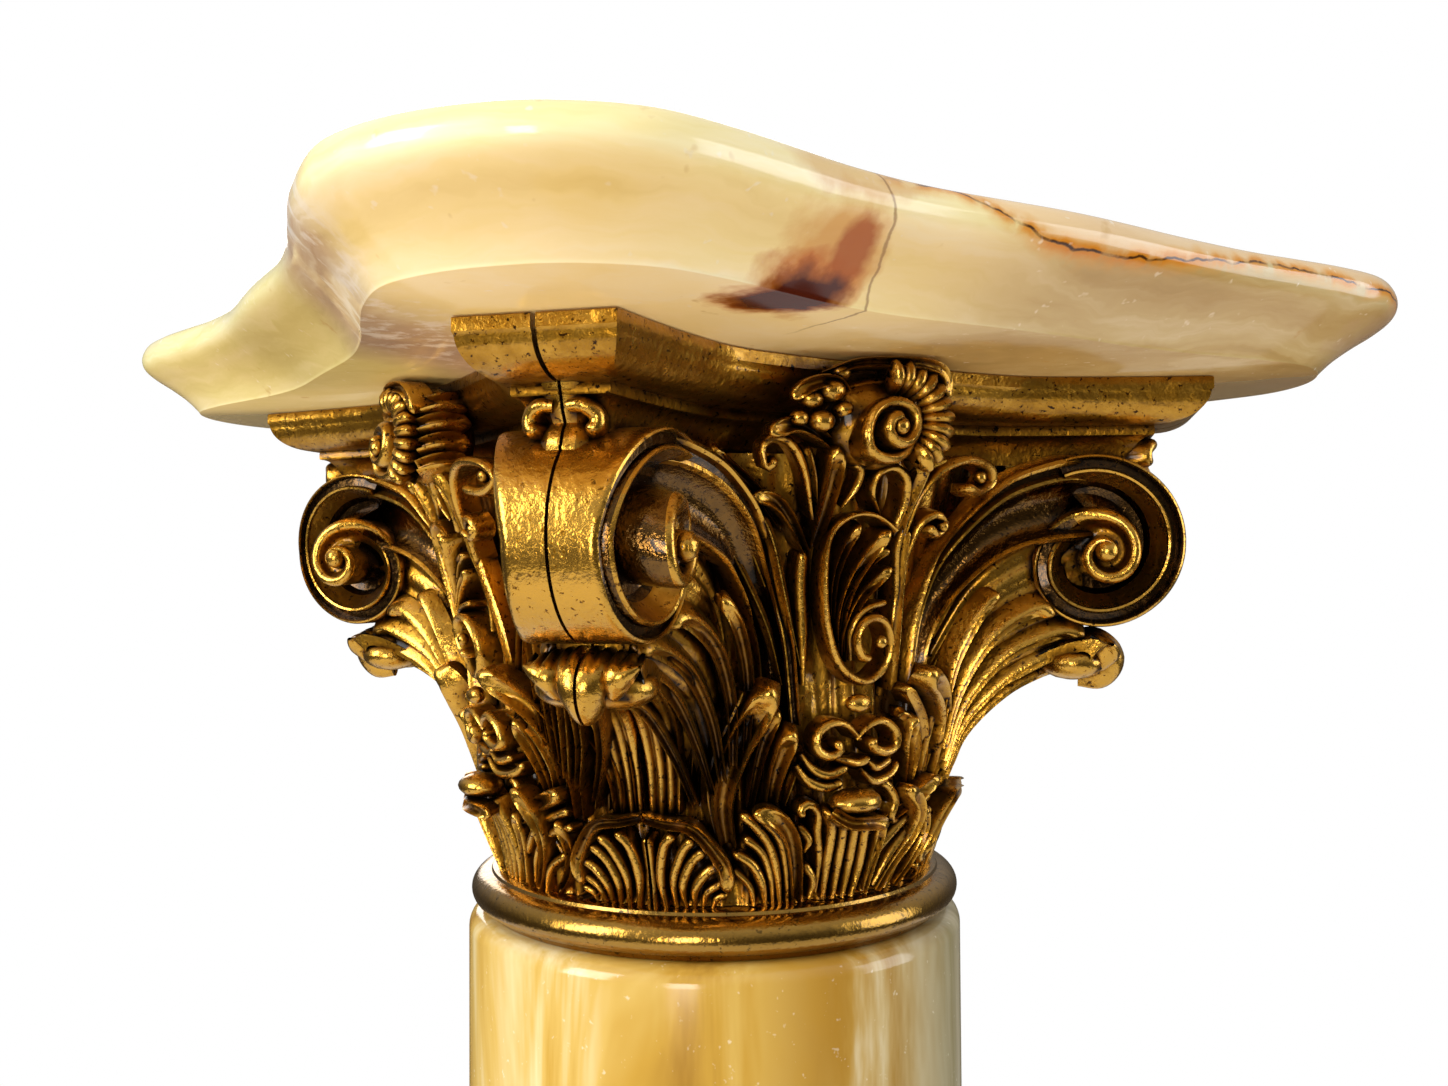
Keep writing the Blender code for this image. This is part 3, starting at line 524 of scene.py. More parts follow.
LOWER_WORK = (
    ("rod", 1.4, 1.7, ((-19.1, 0.2, 2), (-20.1, 6.1, 4), (-22.6, 11.8, 5.5), (-26.9, 15, 5.5))),
    ("rod", 1.1, 1.4, ((-21.7, 0.4, 2), (-22.7, 5.6, 3), (-26.6, 10.3, 4))),
    ("rod", 1.4, 1.8, (
        (-15.7, -0, 2), (-17, 9.6, 5), (-19.2, 17.1, 7), (-22.7, 22.9, 9), (-25.4, 25.5, 9),
    )),
    ("rod", 1.3, 1.6, ((-17.3, 0.1, 2), (-18.1, 7.7, 4), (-20.4, 14.8, 6), (-24.5, 19.1, 7))),
    ("spoon", 2.6, 2.1, ((-11.7, 0.2, 2), (-13, 10.4, 6), (-15, 19, 9), (-18.6, 24.3, 11), (-23, 26, 11))),
    ("rod", 1.3, 1.6, ((-13.8, -0, 2), (-14.9, 10.3, 5), (-17.2, 18.9, 8), (-21.2, 24.3, 10))),
    ("rod", 1.3, 1.4, ((-8.3, 1.1, 2), (-7.5, 5.7, 3), (-10.2, 10.6, 4))),
    ("rod", 1.3, 1.4, ((-10.2, 14.1, 4), (-9.4, 17.2, 5), (-12.2, 21, 5))),
    ("rod", 1.3, 1.4, (
        (-6.7, 2.7, 2), (-6.4, 11.9, 4), (-7.8, 19.5, 6), (-7.9, 24, 7), (-10.4, 26.9, 8),
        (-12.5, 25.7, 8), (-11.7, 23.7, 8),
    )),
    ("rod", 1.3, 1.4, (
        (23.6, 8.6, 3), (18.7, 17.2, 5), (12.4, 20.4, 7), (12.9, 25, 8), (9.9, 29.6, 8), (7.9, 30.3, 8),
    )),
    ("rod", 1.5, 1.8, ((-4.8, 0.7, 2), (-4.6, 9.9, 4), (-4.8, 19.3, 7), (-6.8, 25.3, 10))),
    ("rod", 1.5, 1.8, ((-2.1, 0.5, 2), (-1.6, 9.5, 4), (-2, 19, 7), (-4.6, 26.1, 11))),
    ("rod", 1.5, 1.8, ((0.6, 0.4, 2), (1.4, 9.1, 4), (1, 18.6, 7), (-1.4, 25.7, 11))),
    ("rod", 1.5, 1.8, ((3.3, 0.2, 2), (4.6, 8.6, 4), (3.8, 17.3, 7), (2.5, 24.2, 10))),
    ("spoon", 2, 1.7, ((7.1, 0.2, 2), (8.1, 8, 4), (9, 15.4, 6), (8.3, 21.2, 8))),
    ("spoon", 2.2, 1.8, (
        (11.8, 0.2, 2), (15.4, 6.7, 4), (19.1, 15.2, 8), (18.3, 22.6, 11), (13.2, 29.1, 12),
    )),
    ("spoon", 1.8, 1.7, ((18.6, 0.2, 2), (23.7, 5.9, 4), (26.4, 14.1, 7), (23.7, 21.4, 9))),
    ("spoon", 1.8, 1.6, ((25.4, -0.4, 2), (32.2, 3.9, 3), (33.5, 9.4, 4))),
    ("spoon", 4.4, 3.4, (
        (-27.9, 16.8, 4), (-29, 28.7, 7), (-26.4, 42, 10), (-22.8, 51.6, 13), (-20.6, 59.1, 17),
    )),
    ("ridge", 2.2, 2.8, (
        (-30, 17.7, 4), (-31.9, 30.3, 6), (-30.4, 41.8, 8), (-27.9, 49.4, 11), (-25.4, 57.7, 14),
    )),
    ("spoon", 2.5, 2.3, ((-35, 27.1, 3), (-34.7, 37.8, 4), (-32.5, 46, 7), (-30, 52.5, 12))),
    ("spoon", 2, 2.1, ((-22.9, 26.7, 4), (-21.3, 38.7, 6), (-19.7, 46.7, 8), (-17.9, 51.9, 9))),
    ("spoon", 3, 2.5, ((-18.6, 26.1, 4), (-17.6, 35.1, 6), (-16.4, 42.4, 9), (-15.4, 47, 12))),
    ("ridge", 1.3, 1.8, ((-14.8, 26.5, 3), (-12.7, 34.5, 4), (-11.5, 41.6, 5))),
    ("ridge", 1.6, 2.1, (
        (-36.1, 28, 3), (-35.1, 39.5, 4), (-34, 50.2, 6), (-31.7, 60.6, 7), (-28.8, 67.5, 8),
    )),
    ("rod", 1.4, 1.7, ((-13.5, 37.1, 7), (-11.2, 33.2, 8), (-7.3, 31.1, 9), (-3.4, 32.2, 9))),
    ("rod", 1.4, 1.7, ((-12.5, 40.1, 7), (-10.1, 36.2, 8), (-6.6, 34.3, 9), (-2.3, 36.1, 9))),
    ("rod", 1.3, 1.7, ((0.2, 35.6, 9), (4.5, 31.6, 9), (10.2, 32.5, 8), (13.3, 35.3, 7))),
    ("rod", 1.3, 1.7, ((2.4, 37.3, 9), (5.2, 35.2, 9), (9.9, 36.8, 8))),
    ("rod", 1.4, 2, (
        (-0.3, 43.6, 9), (-3.7, 47.3, 10), (-7.4, 48.2, 10.5), (-10.1, 45.6, 10.5), (-10.1, 41.7, 10.5),
        (-7.4, 39.5, 10.5), (-5, 41.1, 10.5), (-6.5, 43.5, 11),
    )),
    ("rod", 1.4, 2, (
        (-0.8, 43.7, 9), (1.6, 46.8, 10), (4.9, 47.9, 10.5), (8.7, 44.8, 10.5), (9.2, 40.7, 10.5),
        (6, 39.5, 10.5), (2.6, 41.5, 10.5), (3.3, 43.5, 11),
    )),
    ("rod", 1.3, 1.8, ((-6, 39.1, 8), (-3.2, 37.9, 9), (0.2, 36.9, 9), (3.2, 38, 9))),
    ("spoon", 3.4, 3, (
        (28.7, 22.8, 4), (29.1, 33.4, 7), (26.1, 44.5, 10), (20, 53.7, 13), (11.1, 60.9, 17),
    )),
    ("ridge", 1.6, 2.1, ((21.1, 26, 4), (21.7, 34.5, 6), (19, 42.5, 8), (12.8, 48.7, 9), (10.6, 48.5, 8))),
    ("ridge", 1.6, 2.1, ((25, 24.4, 4), (25.7, 34.8, 6), (20, 46.1, 9), (10.8, 56.4, 12))),
    ("spoon", 2.3, 2.3, ((37.7, 18.2, 4), (38.9, 30.8, 7), (36.3, 44, 10), (28.7, 56.5, 13))),
    ("spoon", 3.4, 2.5, ((26.4, 24.7, 4), (25.3, 31.9, 5), (24.6, 43.8, 8), (23.1, 56.9, 11))),
    ("spoon", 2.5, 2.3, ((19.6, 27.5, 4), (17.9, 35.7, 6), (15.7, 42.5, 8), (14.8, 48.1, 11))),
    ("spoon", 2.8, 2.6, ((43.8, 26, 5), (43.9, 40, 8), (43.2, 52, 11), (42.4, 62, 14))),
    ("ridge", 1.2, 1.5, ((41.9, 27.2, 3), (41.6, 35.8, 5), (41.5, 46.7, 8), (41.7, 51.2, 10))),
    ("ridge", 1.2, 1.5, ((39, 25.7, 3), (39.5, 35.7, 5), (38.9, 46.4, 7), (38.4, 51, 9))),
    ("ridge", 1.2, 1.5, ((35.2, 24.9, 3), (36.2, 35.5, 5), (36, 46.3, 7), (35.4, 50.8, 9))),
    ("ridge", 1.4, 1.7, ((31.7, 25.1, 3), (32.9, 31.6, 4), (32.8, 40.7, 6), (30.5, 54, 8))),
    ("rod", 1.4, 1.7, ((6.6, 1.1, 2), (9.3, 10.3, 4), (17.4, 19.5, 7), (27, 24.5, 8))),
    ("rod", 1.3, 1.7, ((10.5, 2, 2), (14.4, 10.5, 5), (20.6, 17.3, 7), (28.1, 20.2, 8))),
    ("rod", 1.3, 1.6, ((14.9, 0.1, 2), (17.9, 7.3, 4), (23.9, 11.9, 5))),
    ("spoon", 2.3, 1.8, ((3.5, 16.7, 4), (11.4, 20.2, 6), (20.1, 26, 9), (26.5, 29.3, 11))),
)
UPPER_WORK = (
    ("rod", 1.3, 2.5, (
        (2, 97.7, 11), (-2.7, 101.3, 11), (-7.3, 100.9, 10.5), (-10.4, 95.9, 10), (-10.6, 85.9, 9.5),
        (-9.2, 73.9, 9), (-5.9, 63.4, 9), (-0.6, 58.6, 9.5), (3.9, 61.6, 10), (4.9, 68.7, 10.5),
        (2.2, 74.3, 11), (-1.6, 74.8, 11.5), (-3.5, 70.8, 11.5), (-2.3, 65.6, 11.5), (-0.1, 64.6, 12),
    )),
    ("spoon", 2, 2.3, (
        (-5.7, 66.8, 8), (-6.2, 75.5, 8.5), (-4.8, 84.1, 9), (-2.2, 91.8, 10.5), (0.6, 97.8, 12.5),
    )),
    ("spoon", 1.3, 2, ((-8, 75.6, 8), (-8.2, 85, 8.5), (-6.9, 92.6, 9), (-4.8, 99.3, 10.5))),
    ("spoon", 1.3, 2, ((-6.6, 72.1, 8), (-6, 80.7, 8.5), (-0.6, 90.1, 8.5), (3.1, 92.7, 8.5))),
    ("spoon", 1.6, 2, ((-4.9, 64.2, 8), (-5.1, 71.6, 9), (-2.4, 80.6, 9.5), (3.6, 88.2, 9.5))),
    ("rod", 1, 1.7, ((-3.7, 64.6, 9), (-4.3, 72.1, 10), (-1.9, 77.2, 10.5), (3.1, 79.2, 10))),
    ("rod", 1, 1.6, ((7.2, 71.5, 7), (7.4, 82.2, 7), (5.4, 92.7, 8), (5.7, 99.6, 9))),
    ("spoon", 2.6, 2.5, ((-12.2, 93.5, 6), (-11.4, 101, 8), (-11, 109.9, 10.5), (-11.5, 118.1, 13.5))),
    ("ridge", 1.7, 2.2, ((-21, 84, 4), (-25, 96, 6), (-29.5, 107, 8), (-33, 116.5, 9))),
    ("ridge", 1.5, 2.0, ((-24, 84, 4), (-28, 95, 5), (-32, 105, 7), (-35, 112, 8))),
    ("spoon", 2.0, 2.2, ((-18, 98, 5), (-24, 108, 8), (-29, 114, 10), (-31, 118, 12))),
    ("rod", 1.2, 1.7, ((-8, 103.5, 8), (-6, 108.5, 9), (-5.8, 112.6, 10), (-7.7, 114.2, 11))),
    ("rod", 1.2, 1.8, (
        (-0.7, 102.5, 8), (-2.8, 107, 9), (-2.5, 111.9, 10), (0.2, 113.6, 11), (3.2, 110.5, 11),
        (4.1, 104.7, 10), (3.4, 98.7, 9),
    )),
    ("ridge", 1.7, 2.3, ((5.6, 92.7, 7), (5.4, 101.3, 9), (6.1, 108.9, 11), (5.4, 115.6, 14))),
    ("rod", 1.3, 2.1, (
        (6.3, 97.9, 8), (7.2, 106.5, 10), (10.3, 113.4, 12), (15.2, 116.3, 14), (21, 115.1, 15),
        (23.1, 111.3, 15), (19.6, 108.3, 15), (15.4, 109.3, 15.5),
    )),
    ("rod", 1.2, 1.8, (
        (7.5, 90.1, 8), (8.6, 98.8, 10), (11.3, 102.1, 12), (13.8, 99.3, 12.5), (11.9, 96.9, 12.5),
        (9.3, 98.7, 13),
    )),
    ("ridge", 1.2, 1.7, ((11.1, 55, 6), (9.7, 71.4, 7), (8, 83.9, 8), (6.8, 97.9, 9))),
    ("rod", 1.8, 2.1, ((-12.3, 58.2, 5), (-12.9, 72.1, 5), (-14, 84.2, 5.5), (-14.1, 92.6, 6))),
    ("ridge", 1.4, 2.1, ((-13.3, 63.5, 5), (-17.3, 80.8, 6.5), (-20.2, 94.3, 8), (-22.3, 100.8, 9))),
    ("spoon", 2, 2.1, ((-13.8, 92.6, 6), (-17.2, 100.1, 8), (-20.5, 104.9, 9.5), (-24.5, 105.7, 10))),
    ("rod", 1.3, 2, (
        (-13, 101, 6), (-15.7, 112.3, 9), (-18.5, 118.5, 11), (-21.3, 119.9, 12), (-23.2, 117.4, 12.5),
        (-22.8, 113.5, 12.5), (-21.6, 112.7, 13), (-21.4, 115, 13),
    )),
    ("ridge", 1.3, 1.8, ((-12.6, 104.3, 7), (-13.9, 111.5, 9), (-15.8, 117.7, 11))),
    ("ridge", 1.3, 1.7, ((-16.6, 58.3, 4), (-20, 72.3, 5), (-24.3, 84.3, 6), (-27.6, 92.7, 7))),
)
strokes(CORNER_WORK, both=True)
strokes(LOWER_WORK)
strokes(UPPER_WORK)
# the knob between bow and paisley, the balls in the hooks, and the centre leaf's curled cap
KNOBS = (
    ((-1.5, 77.0, 53.0), 2.6, (1.5, 1.0, 0.95)),
    ((4.5, 84.0, 106.5), 2.0, (1, 1, 1)),
    ((13.0, 88.0, 99.0), 1.6, (1, 1, 1)),
    ((20.0, 92.5, 112.3), 1.9, (1, 1, 1)),
    ((1.2, 82.0, 69.0), 1.7, (1, 1, 1)),
    ((-1.6, 75.5, 27.5), 5.0, (1.5, 1.25, 0.68)),
)
for place, radius, stretch in KNOBS:
    ball(around(*place), radius, stretch)
CAP_CURL = ((-7.0, 76, 25), (-4.0, 78, 22.5), (-1.0, 79, 22.2), (3.0, 78, 21.6), (5.6, 76, 20.5))
sweep("spoon", 2.0, 1.6, around(*np.array(CAP_CURL).T), foot=0.9)

# Abacus: a plain moulding that sweeps out to the canted corners, an ovolo over a list over a hollow.
ABACUS_CORNER_REACH = 146.1
ABACUS_CORNER_HALF_WIDTH = 18.0
ABACUS_SIDE_REACH = 87.0
ABACUS_SIDE = ((0.0, 0.0), (0.25, 0.01), (0.50, 0.10), (0.68, 0.36), (0.84, 0.66), (1.0, 1.0))


def abacus_edge(inset, height):
    """Plan of one face's share of the moulding, as a closed ring at a height."""
    cant = ABACUS_CORNER_HALF_WIDTH - 0.44 * inset
    end = (ABACUS_CORNER_REACH - inset - cant) / sqrt(2)
    out = (ABACUS_CORNER_REACH - inset + cant) / sqrt(2)
    side = ABACUS_SIDE_REACH - inset
    half = eased([(share * end, side + rise * (out - side)) for share, rise in ABACUS_SIDE], 40)
    shares = np.linspace(0.08, 0.5 - SEAM / (out - end), 6)
    face = [((end + (out - end) * s), out - (out - end) * s) for s in shares]
    half = np.vstack([half, face])
    edge = np.vstack([half[::-1] * (-1, 1), half[1:], [(0, 30.0)]])
    return np.column_stack([edge[:, 0], -edge[:, 1], np.full(len(edge), height)])


rows = [(0.3, 140.0), (0.0, 139.7), (0.0, 136.9)]
for turn in np.linspace(4, 90, 14):
    rows.append((0.6 + 14.0 * (1 - cos(radians(turn))), 136.8 - 9.0 * sin(radians(turn))))
rows += [(15.2, 127.6), (15.0, 127.1), (15.0, 125.7), (15.2, 125.2)]
for turn in np.linspace(10, 90, 8):
    rows.append((15.2 + 6.5 * sin(radians(turn)), 125.2 - 8.0 * (1 - cos(radians(turn)))))
# it has been rubbed less bright than the work under it
add_rings([abacus_edge(inset, height) for inset, height in reversed(rows)], rubbed=ABACUS_RUBBED)


# Fleuron, the flower on the abacus: a snail shell with a fluted hood behind it, and small leaves and berries
# to its left.
def upright(points, reach):
    """Knots (x, height) on a plane in front of the axis; reach is one number or one for each."""
    points = np.array(points, float)
    return np.column_stack([points[:, 0], -np.broadcast_to(reach, len(points)), points[:, 1]])


ball((-7, -88, 125), 1.0, (15.5, 11.5, 12.5))
ball((1, -90, 127), 1.0, (9.5, 8.5, 11.5))
SNAIL = (
    (-24.8, 121.2), (-18.8, 130.3), (-13.0, 133.0), (-5.6, 133.4), (0.1, 130.0), (0.9, 123.5),
    (-3.2, 116.9), (-8.9, 114.6), (-15.0, 116.0), (-16.3, 121.2), (-13.6, 126.2), (-8.3, 128.2),
    (-3.6, 126.8), (-2.4, 122.5), (-5.2, 118.8), (-9.4, 118.6), (-11.7, 121.3), (-10.2, 124.3),
    (-7.6, 124.2),
)
snail_reach = np.interp(np.arange(len(SNAIL)), (0, 3, 8, 18), (88, 96, 100, 103))
sweep("rod", 1.5, 2.2, upright(SNAIL, snail_reach))
ball((-8.2, -103, 122.2), 2.3)
# the hood's flutes fan out round the snail
for turn in np.radians(np.linspace(-58, 98, 11)):
    near = (-5.5 + 8.0 * cos(turn), 124.5 + 7.0 * sin(turn))
    far = (-5.5 + 16.0 * cos(turn), 124.5 + (13.8 if turn > 0.9 else 14.5) * sin(turn))
    mid = ((near[0] + far[0]) / 2, (near[1] + far[1]) / 2)
    sweep("rod", 1.95, 2.6, upright([near, mid, far], (96, 100.5, 98.5)), foot=0.6)
for height in (115.5, 121, 126.5, 131.5):
    side = [(8.5, -97, height), (10.8, -93, height + 1.5)]
    side += [(11.2, -88, height + 2.0), (9.5, -83, height + 1.0)]
    sweep("spoon", 2.7, 2.0, side, foot=0.7)
BRIM = ((-24, 134.5), (-17, 137.4), (-8, 138), (2, 138), (8, 136.2), (10.5, 130))
sweep("spoon", 1.7, 1.5, upright(BRIM, (93, 97, 100, 101, 100, 98)), foot=0.6)
BERRIES = (
    (-22, 131, 3.2), (-27, 128.6, 2.7), (-19.5, 135.5, 2.4), (-24.5, 123.5, 3.0), (-30, 124, 2.2),
    (-18, 126.5, 2.6),
)
for x, height, size in BERRIES:
    ball((x, -(94 - 0.25 * abs(x + 20)), height), size, (1.2, 1.1, 0.9))
sweep("spoon", 2.2, 1.8, upright([(-18, 118), (-25, 121), (-31, 122.5), (-38, 120)], (88, 91, 91, 90)))
sweep("spoon", 2.0, 1.8, upright([(-16, 130), (-22, 133), (-28, 132), (-32, 128.5)], (92, 95, 94, 91)))

# Volutes: the strap of each corner is split down its middle by the seam. Its edge is a bright crest, a dark
# band and a second crest; they wind in together, and the inner coil stands out as a cone with a round eye.
# The tables are (turns wound in, radius) of the rim, and (width across the band, height) of the band's
# section in the first turn and in the later ones.
VOLUTE_CENTRE = (115.1, 94.5)
RIM = (
    (0, 25.5), (0.07, 24.9), (0.32, 24.2), (0.57, 23.0), (0.82, 20.6), (1.0, 14.6), (1.07, 12.8),
    (1.2, 10.2), (1.32, 8.6), (1.57, 8.2), (1.82, 7.2), (2.0, 5.2), (2.15, 3.4), (2.3, 2.2), (2.5, 1.2),
    (3.6, 0.0),
)
EYE_SHIFT = 2.9
EYE_RADIUS = 3.4
STEPS = 84
WOUND = 2.5
BAND = 9.2
DARK_BANDS = (3, 4, 5, 10, 11, 12)
FIRST = (
    (0, -1.0), (0.3, -0.1), (0.8, 0.2), (1.2, -0.4), (1.5, -1.7), (3.7, -1.0), (3.95, 0.7), (4.4, 1.5),
    (5.0, 1.3), (5.4, 0.2), (5.8, -3.6), (6.8, -5.8), (8.4, -6.2),
)
LATER = (
    (0, -1.6), (0.6, -0.3), (1.5, 0.5), (2.6, 0.6), (3.7, 0.2), (4.4, -0.8), (4.9, -2.2), (5.4, -3.2),
    (6.0, -3.8), (6.6, -4.0), (7.2, -4.0), (7.8, -3.9), (8.4, -3.7),
)
rim_turns, rim_radii = np.array(RIM).T
fine_turns = np.linspace(-0.1, 3.6, 371)
smooth_rim = np.convolve(np.interp(fine_turns, rim_turns, rim_radii), np.ones(21) / 21, "same")
outward = np.array([sin(pi / 4), -cos(pi / 4), 0.0])
sideways = np.array([-cos(pi / 4), -sin(pi / 4), 0.0])
up = np.array([0.0, 0.0, 1.0])
last, across = int(WOUND * STEPS), len(FIRST)


def rim_at(turn):
    """Radius of the rim after so many turns."""
    if turn < 0.05:
        return float(np.interp(turn, rim_turns, rim_radii))
    return float(np.interp(turn, fine_turns[12:-12], smooth_rim[12:-12]))


def volute_point(turn, radius, depth, front, eye_rise):
    """A point of the coil. The strap widens upward and inward from its front, and the eye stands proud."""
    bearing = radians(115) - tau * turn
    s = min(1.0, max(0.0, (turn - 0.45) / 0.5))
    shift = EYE_SHIFT * s * s * (3 - 2 * s)
    x, z = shift + radius * cos(bearing), radius * sin(bearing) - shift
    flat = outward * (VOLUTE_CENTRE[0] + x) + up * (VOLUTE_CENTRE[1] + z)
    s = min(1.0, max(0.0, (turn - 0.72) / 0.36))
    plane = front - 0.20 * (x - 25.0) + (0.20 if z > 0 else 0.02) * z
    eye_rise -= 3.0 * min(1.0, max(0.0, (2.1 - turn) / 1.0))
    return flat + sideways * (plane + (eye_rise - plane) * s * s * (3 - 2 * s) + depth)


def spot(i, j, eye):
    """Which point stands at step i and width j; the inner edge is the rim one turn on, or else the eye."""
    if j < across:
        return i * across + j
    return (i + STEPS) * across if i + STEPS <= last else eye


# the casting's two ends are not quite alike: (side, half width of the strap in front, how proud its eye is)
ENDS = ((1, 9.6, 17.5), (-1, 10.6, 25.8))
for mirror, front, eye_rise in ENDS:
    points, faces, dark = [], [], []
    for i in range(last + 1):
        turn = i / STEPS
        here, inner = rim_at(turn), rim_at(turn + 1)
        late = min(1.0, max(0.0, (turn - 0.72) / 0.3))
        gap = here - inner
        for (d1, z1), (d2, z2) in zip(FIRST, LATER):
            share = (d1 + (d2 - d1) * late) / BAND
            if late < 1 and gap > BAND and d1 < 5.6:
                share = (d1 / gap) * (1 - late) + share * late
            depth = (z1 + (z2 - z1) * late) * (min(1.0, gap / BAND) if late > 0.5 else 1.0)
            points.append(volute_point(turn, here - share * gap, depth, front, eye_rise))
    eye = len(points)
    points.append(volute_point(2, 0.0, 1.0, front, eye_rise))
    for i in range(last):
        for j in range(across):
            corners = [spot(i, j, eye), spot(i + 1, j, eye), spot(i + 1, j + 1, eye), spot(i, j + 1, eye)]
            if j in DARK_BANDS and i < 0.95 * STEPS:
                dark.append(len(faces))
            faces.append(tuple(dict.fromkeys(corners)))
    faces.append((*(spot(last, j, eye) for j in range(across)), eye))
    # from the crest the strap's flank runs back to the seam
    boundary = [spot(i, 0, eye) for i in range(STEPS + 1)]
    boundary += [spot(0, j, eye) for j in range(across - 1, 0, -1)]
    levels = [boundary]
    for share in (0.92, 0.66, 0.33, 0.0):
        start = len(points)
        for k in boundary:
            rise = points[k] @ sideways
            points.append(points[k] + sideways * (SEAM + (rise - SEAM) * share - rise))
        levels.append(list(range(start, len(points))))
    for a, b in zip(levels, levels[1:]):
        for k in range(len(boundary)):
            m = (k + 1) % len(boundary)
            faces.append((a[k], b[k], b[m], a[m]))
    faces.append(tuple(levels[-1]))
    add_shell(np.array(points) * (mirror, 1, 1), faces, dark=dark)
    ball(volute_point(2, 1.2, -1.8, front, eye_rise) * (mirror, 1, 1), EYE_RADIUS)

# The stalk that feeds the volute: two rails, as (angle, radius, height), with a hollow channel between them.
# The channel's section is (share of the width, depth).
OUTER_RAIL = (
    (13.0, 74.5, 48), (14.8, 76, 70), (16.8, 76.8, 80), (19.1, 78.9, 90), (20.9, 82.2, 97),
    (23.2, 87.5, 104), (26.2, 92.4, 110), (29.0, 97.5, 114.4), (33.0, 106.3, 118.0), (35.6, 112, 119.0),
    (38.2, 115.5, 118.0), (40.2, 118.5, 115.5),
)
LOWER_RAIL = (
    (20.5, 73.0, 46), (21.6, 73.6, 58), (22.2, 74.5, 66), (23.4, 76.6, 72), (24.8, 80.1, 78),
    (26.8, 85, 84), (28.8, 90.5, 89), (31.7, 97, 92.6), (34.5, 103.5, 94.5), (36.5, 108, 95),
    (38.0, 111.5, 95.5), (39.5, 114, 96),
)
STALK_ROWS = 60
outer_rail, lower_rail = eased(OUTER_RAIL, STALK_ROWS), eased(LOWER_RAIL, STALK_ROWS)
CHANNEL = (
    (0, -1.2), (0.02, 0.2), (0.06, 0.8), (0.10, 0.3), (0.13, -1.6), (0.20, -1.7), (0.23, 0.1),
    (0.27, 0.3), (0.31, -0.6), (0.38, -2.2), (0.5, -3.2), (0.65, -3.6), (0.78, -3.0), (0.86, -1.6),
    (0.90, 0.0), (0.94, 0.7), (0.98, 0.1), (1.0, -1.2),
)
rings = []
for i in range(STALK_ROWS):
    a, b = around(*outer_rail[i]), around(*lower_rail[i])
    ahead = around(*outer_rail[min(i + 1, STALK_ROWS - 1)]) - around(*outer_rail[max(i - 1, 0)])
    front = np.cross(b - a, ahead)
    front /= np.linalg.norm(front)
    if front @ (a * (1, 1, 0)) < 0:
        front = -front
    wide = float(np.linalg.norm(b - a))
    ring = [a + (b - a) * s + front * z * (1.0 if s < 0.3 else min(1.6, 0.6 + wide / 30)) for s, z in CHANNEL]
    ring += [b - front * 7, a - front * 7]
    rings.append(np.array(ring))
bands = [k * len(rings[0]) + j for k in range(STALK_ROWS - 1) for j in (4, 8, 9, 10, 11, 12, 13)]
add_rings(rings, both=True, dark=bands)

# Ribbed web that closes the space between stalk, coil and calyx leaf, as (reach, foot, top, half thickness).
WEB = (
    (63, 30, 66, 21), (75, 48, 90, 20.5), (81, 54.5, 99, 20), (87, 58, 105, 19), (94, 61.5, 110, 16.5),
    (104, 65.5, 114, 12.5), (111, 67, 115, 9),
)
rings = []
for reach, low, high, half in eased(WEB, 30):
    ring = []
    for s in np.linspace(0, 1, 42):
        rib = 1.3 * abs(sin(s * pi * 7)) ** 0.7
        ring.append((half * (0.78 + 0.22 * sin(pi * s)) + rib, low + (high - low) * s))
    ring += [(SEAM, high), (SEAM, low)]
    rings.append([sideways * q + outward * reach + up * height for q, height in ring])
add_rings(rings, both=True)

# Calyx leaf under the volute: spoon blades fan out from the bell to the corner and droop there in lobes.
HORN = (
    (1.9, 1.9, ((29, 74.5, 34), (31, 80, 50), (34.5, 91, 63.5), (37.8, 104, 69.5), (39.6, 112, 69.0))),
    (1.9, 2.0, ((27.0, 75, 38), (27.5, 80, 54), (30, 88, 68), (34, 98, 76), (36.5, 104.5, 75.5))),
    (1.7, 1.9, ((24.5, 75.5, 42), (24.5, 80, 60), (26.5, 85.5, 73), (29.5, 91, 81.5))),
    (1.6, 1.8, ((31, 73.5, 31), (34, 79, 45), (36.8, 91, 57.5), (39.2, 103, 63.5), (41.0, 110, 64.5))),
    (1.2, 1.5, ((33.5, 74, 45), (36, 84, 60), (38.5, 96, 70), (41, 106, 74))),
    (1.4, 1.6, ((34.5, 72.5, 28), (38, 78, 41), (41, 90, 53), (43.6, 103, 59.5))),
)
for half_width, rise, knots in HORN:
    angle, radius, height = np.array(knots, float).T
    sweep("spoon", half_width * 1.15, rise, around(angle, radius, height), thick=4.0, both=True)
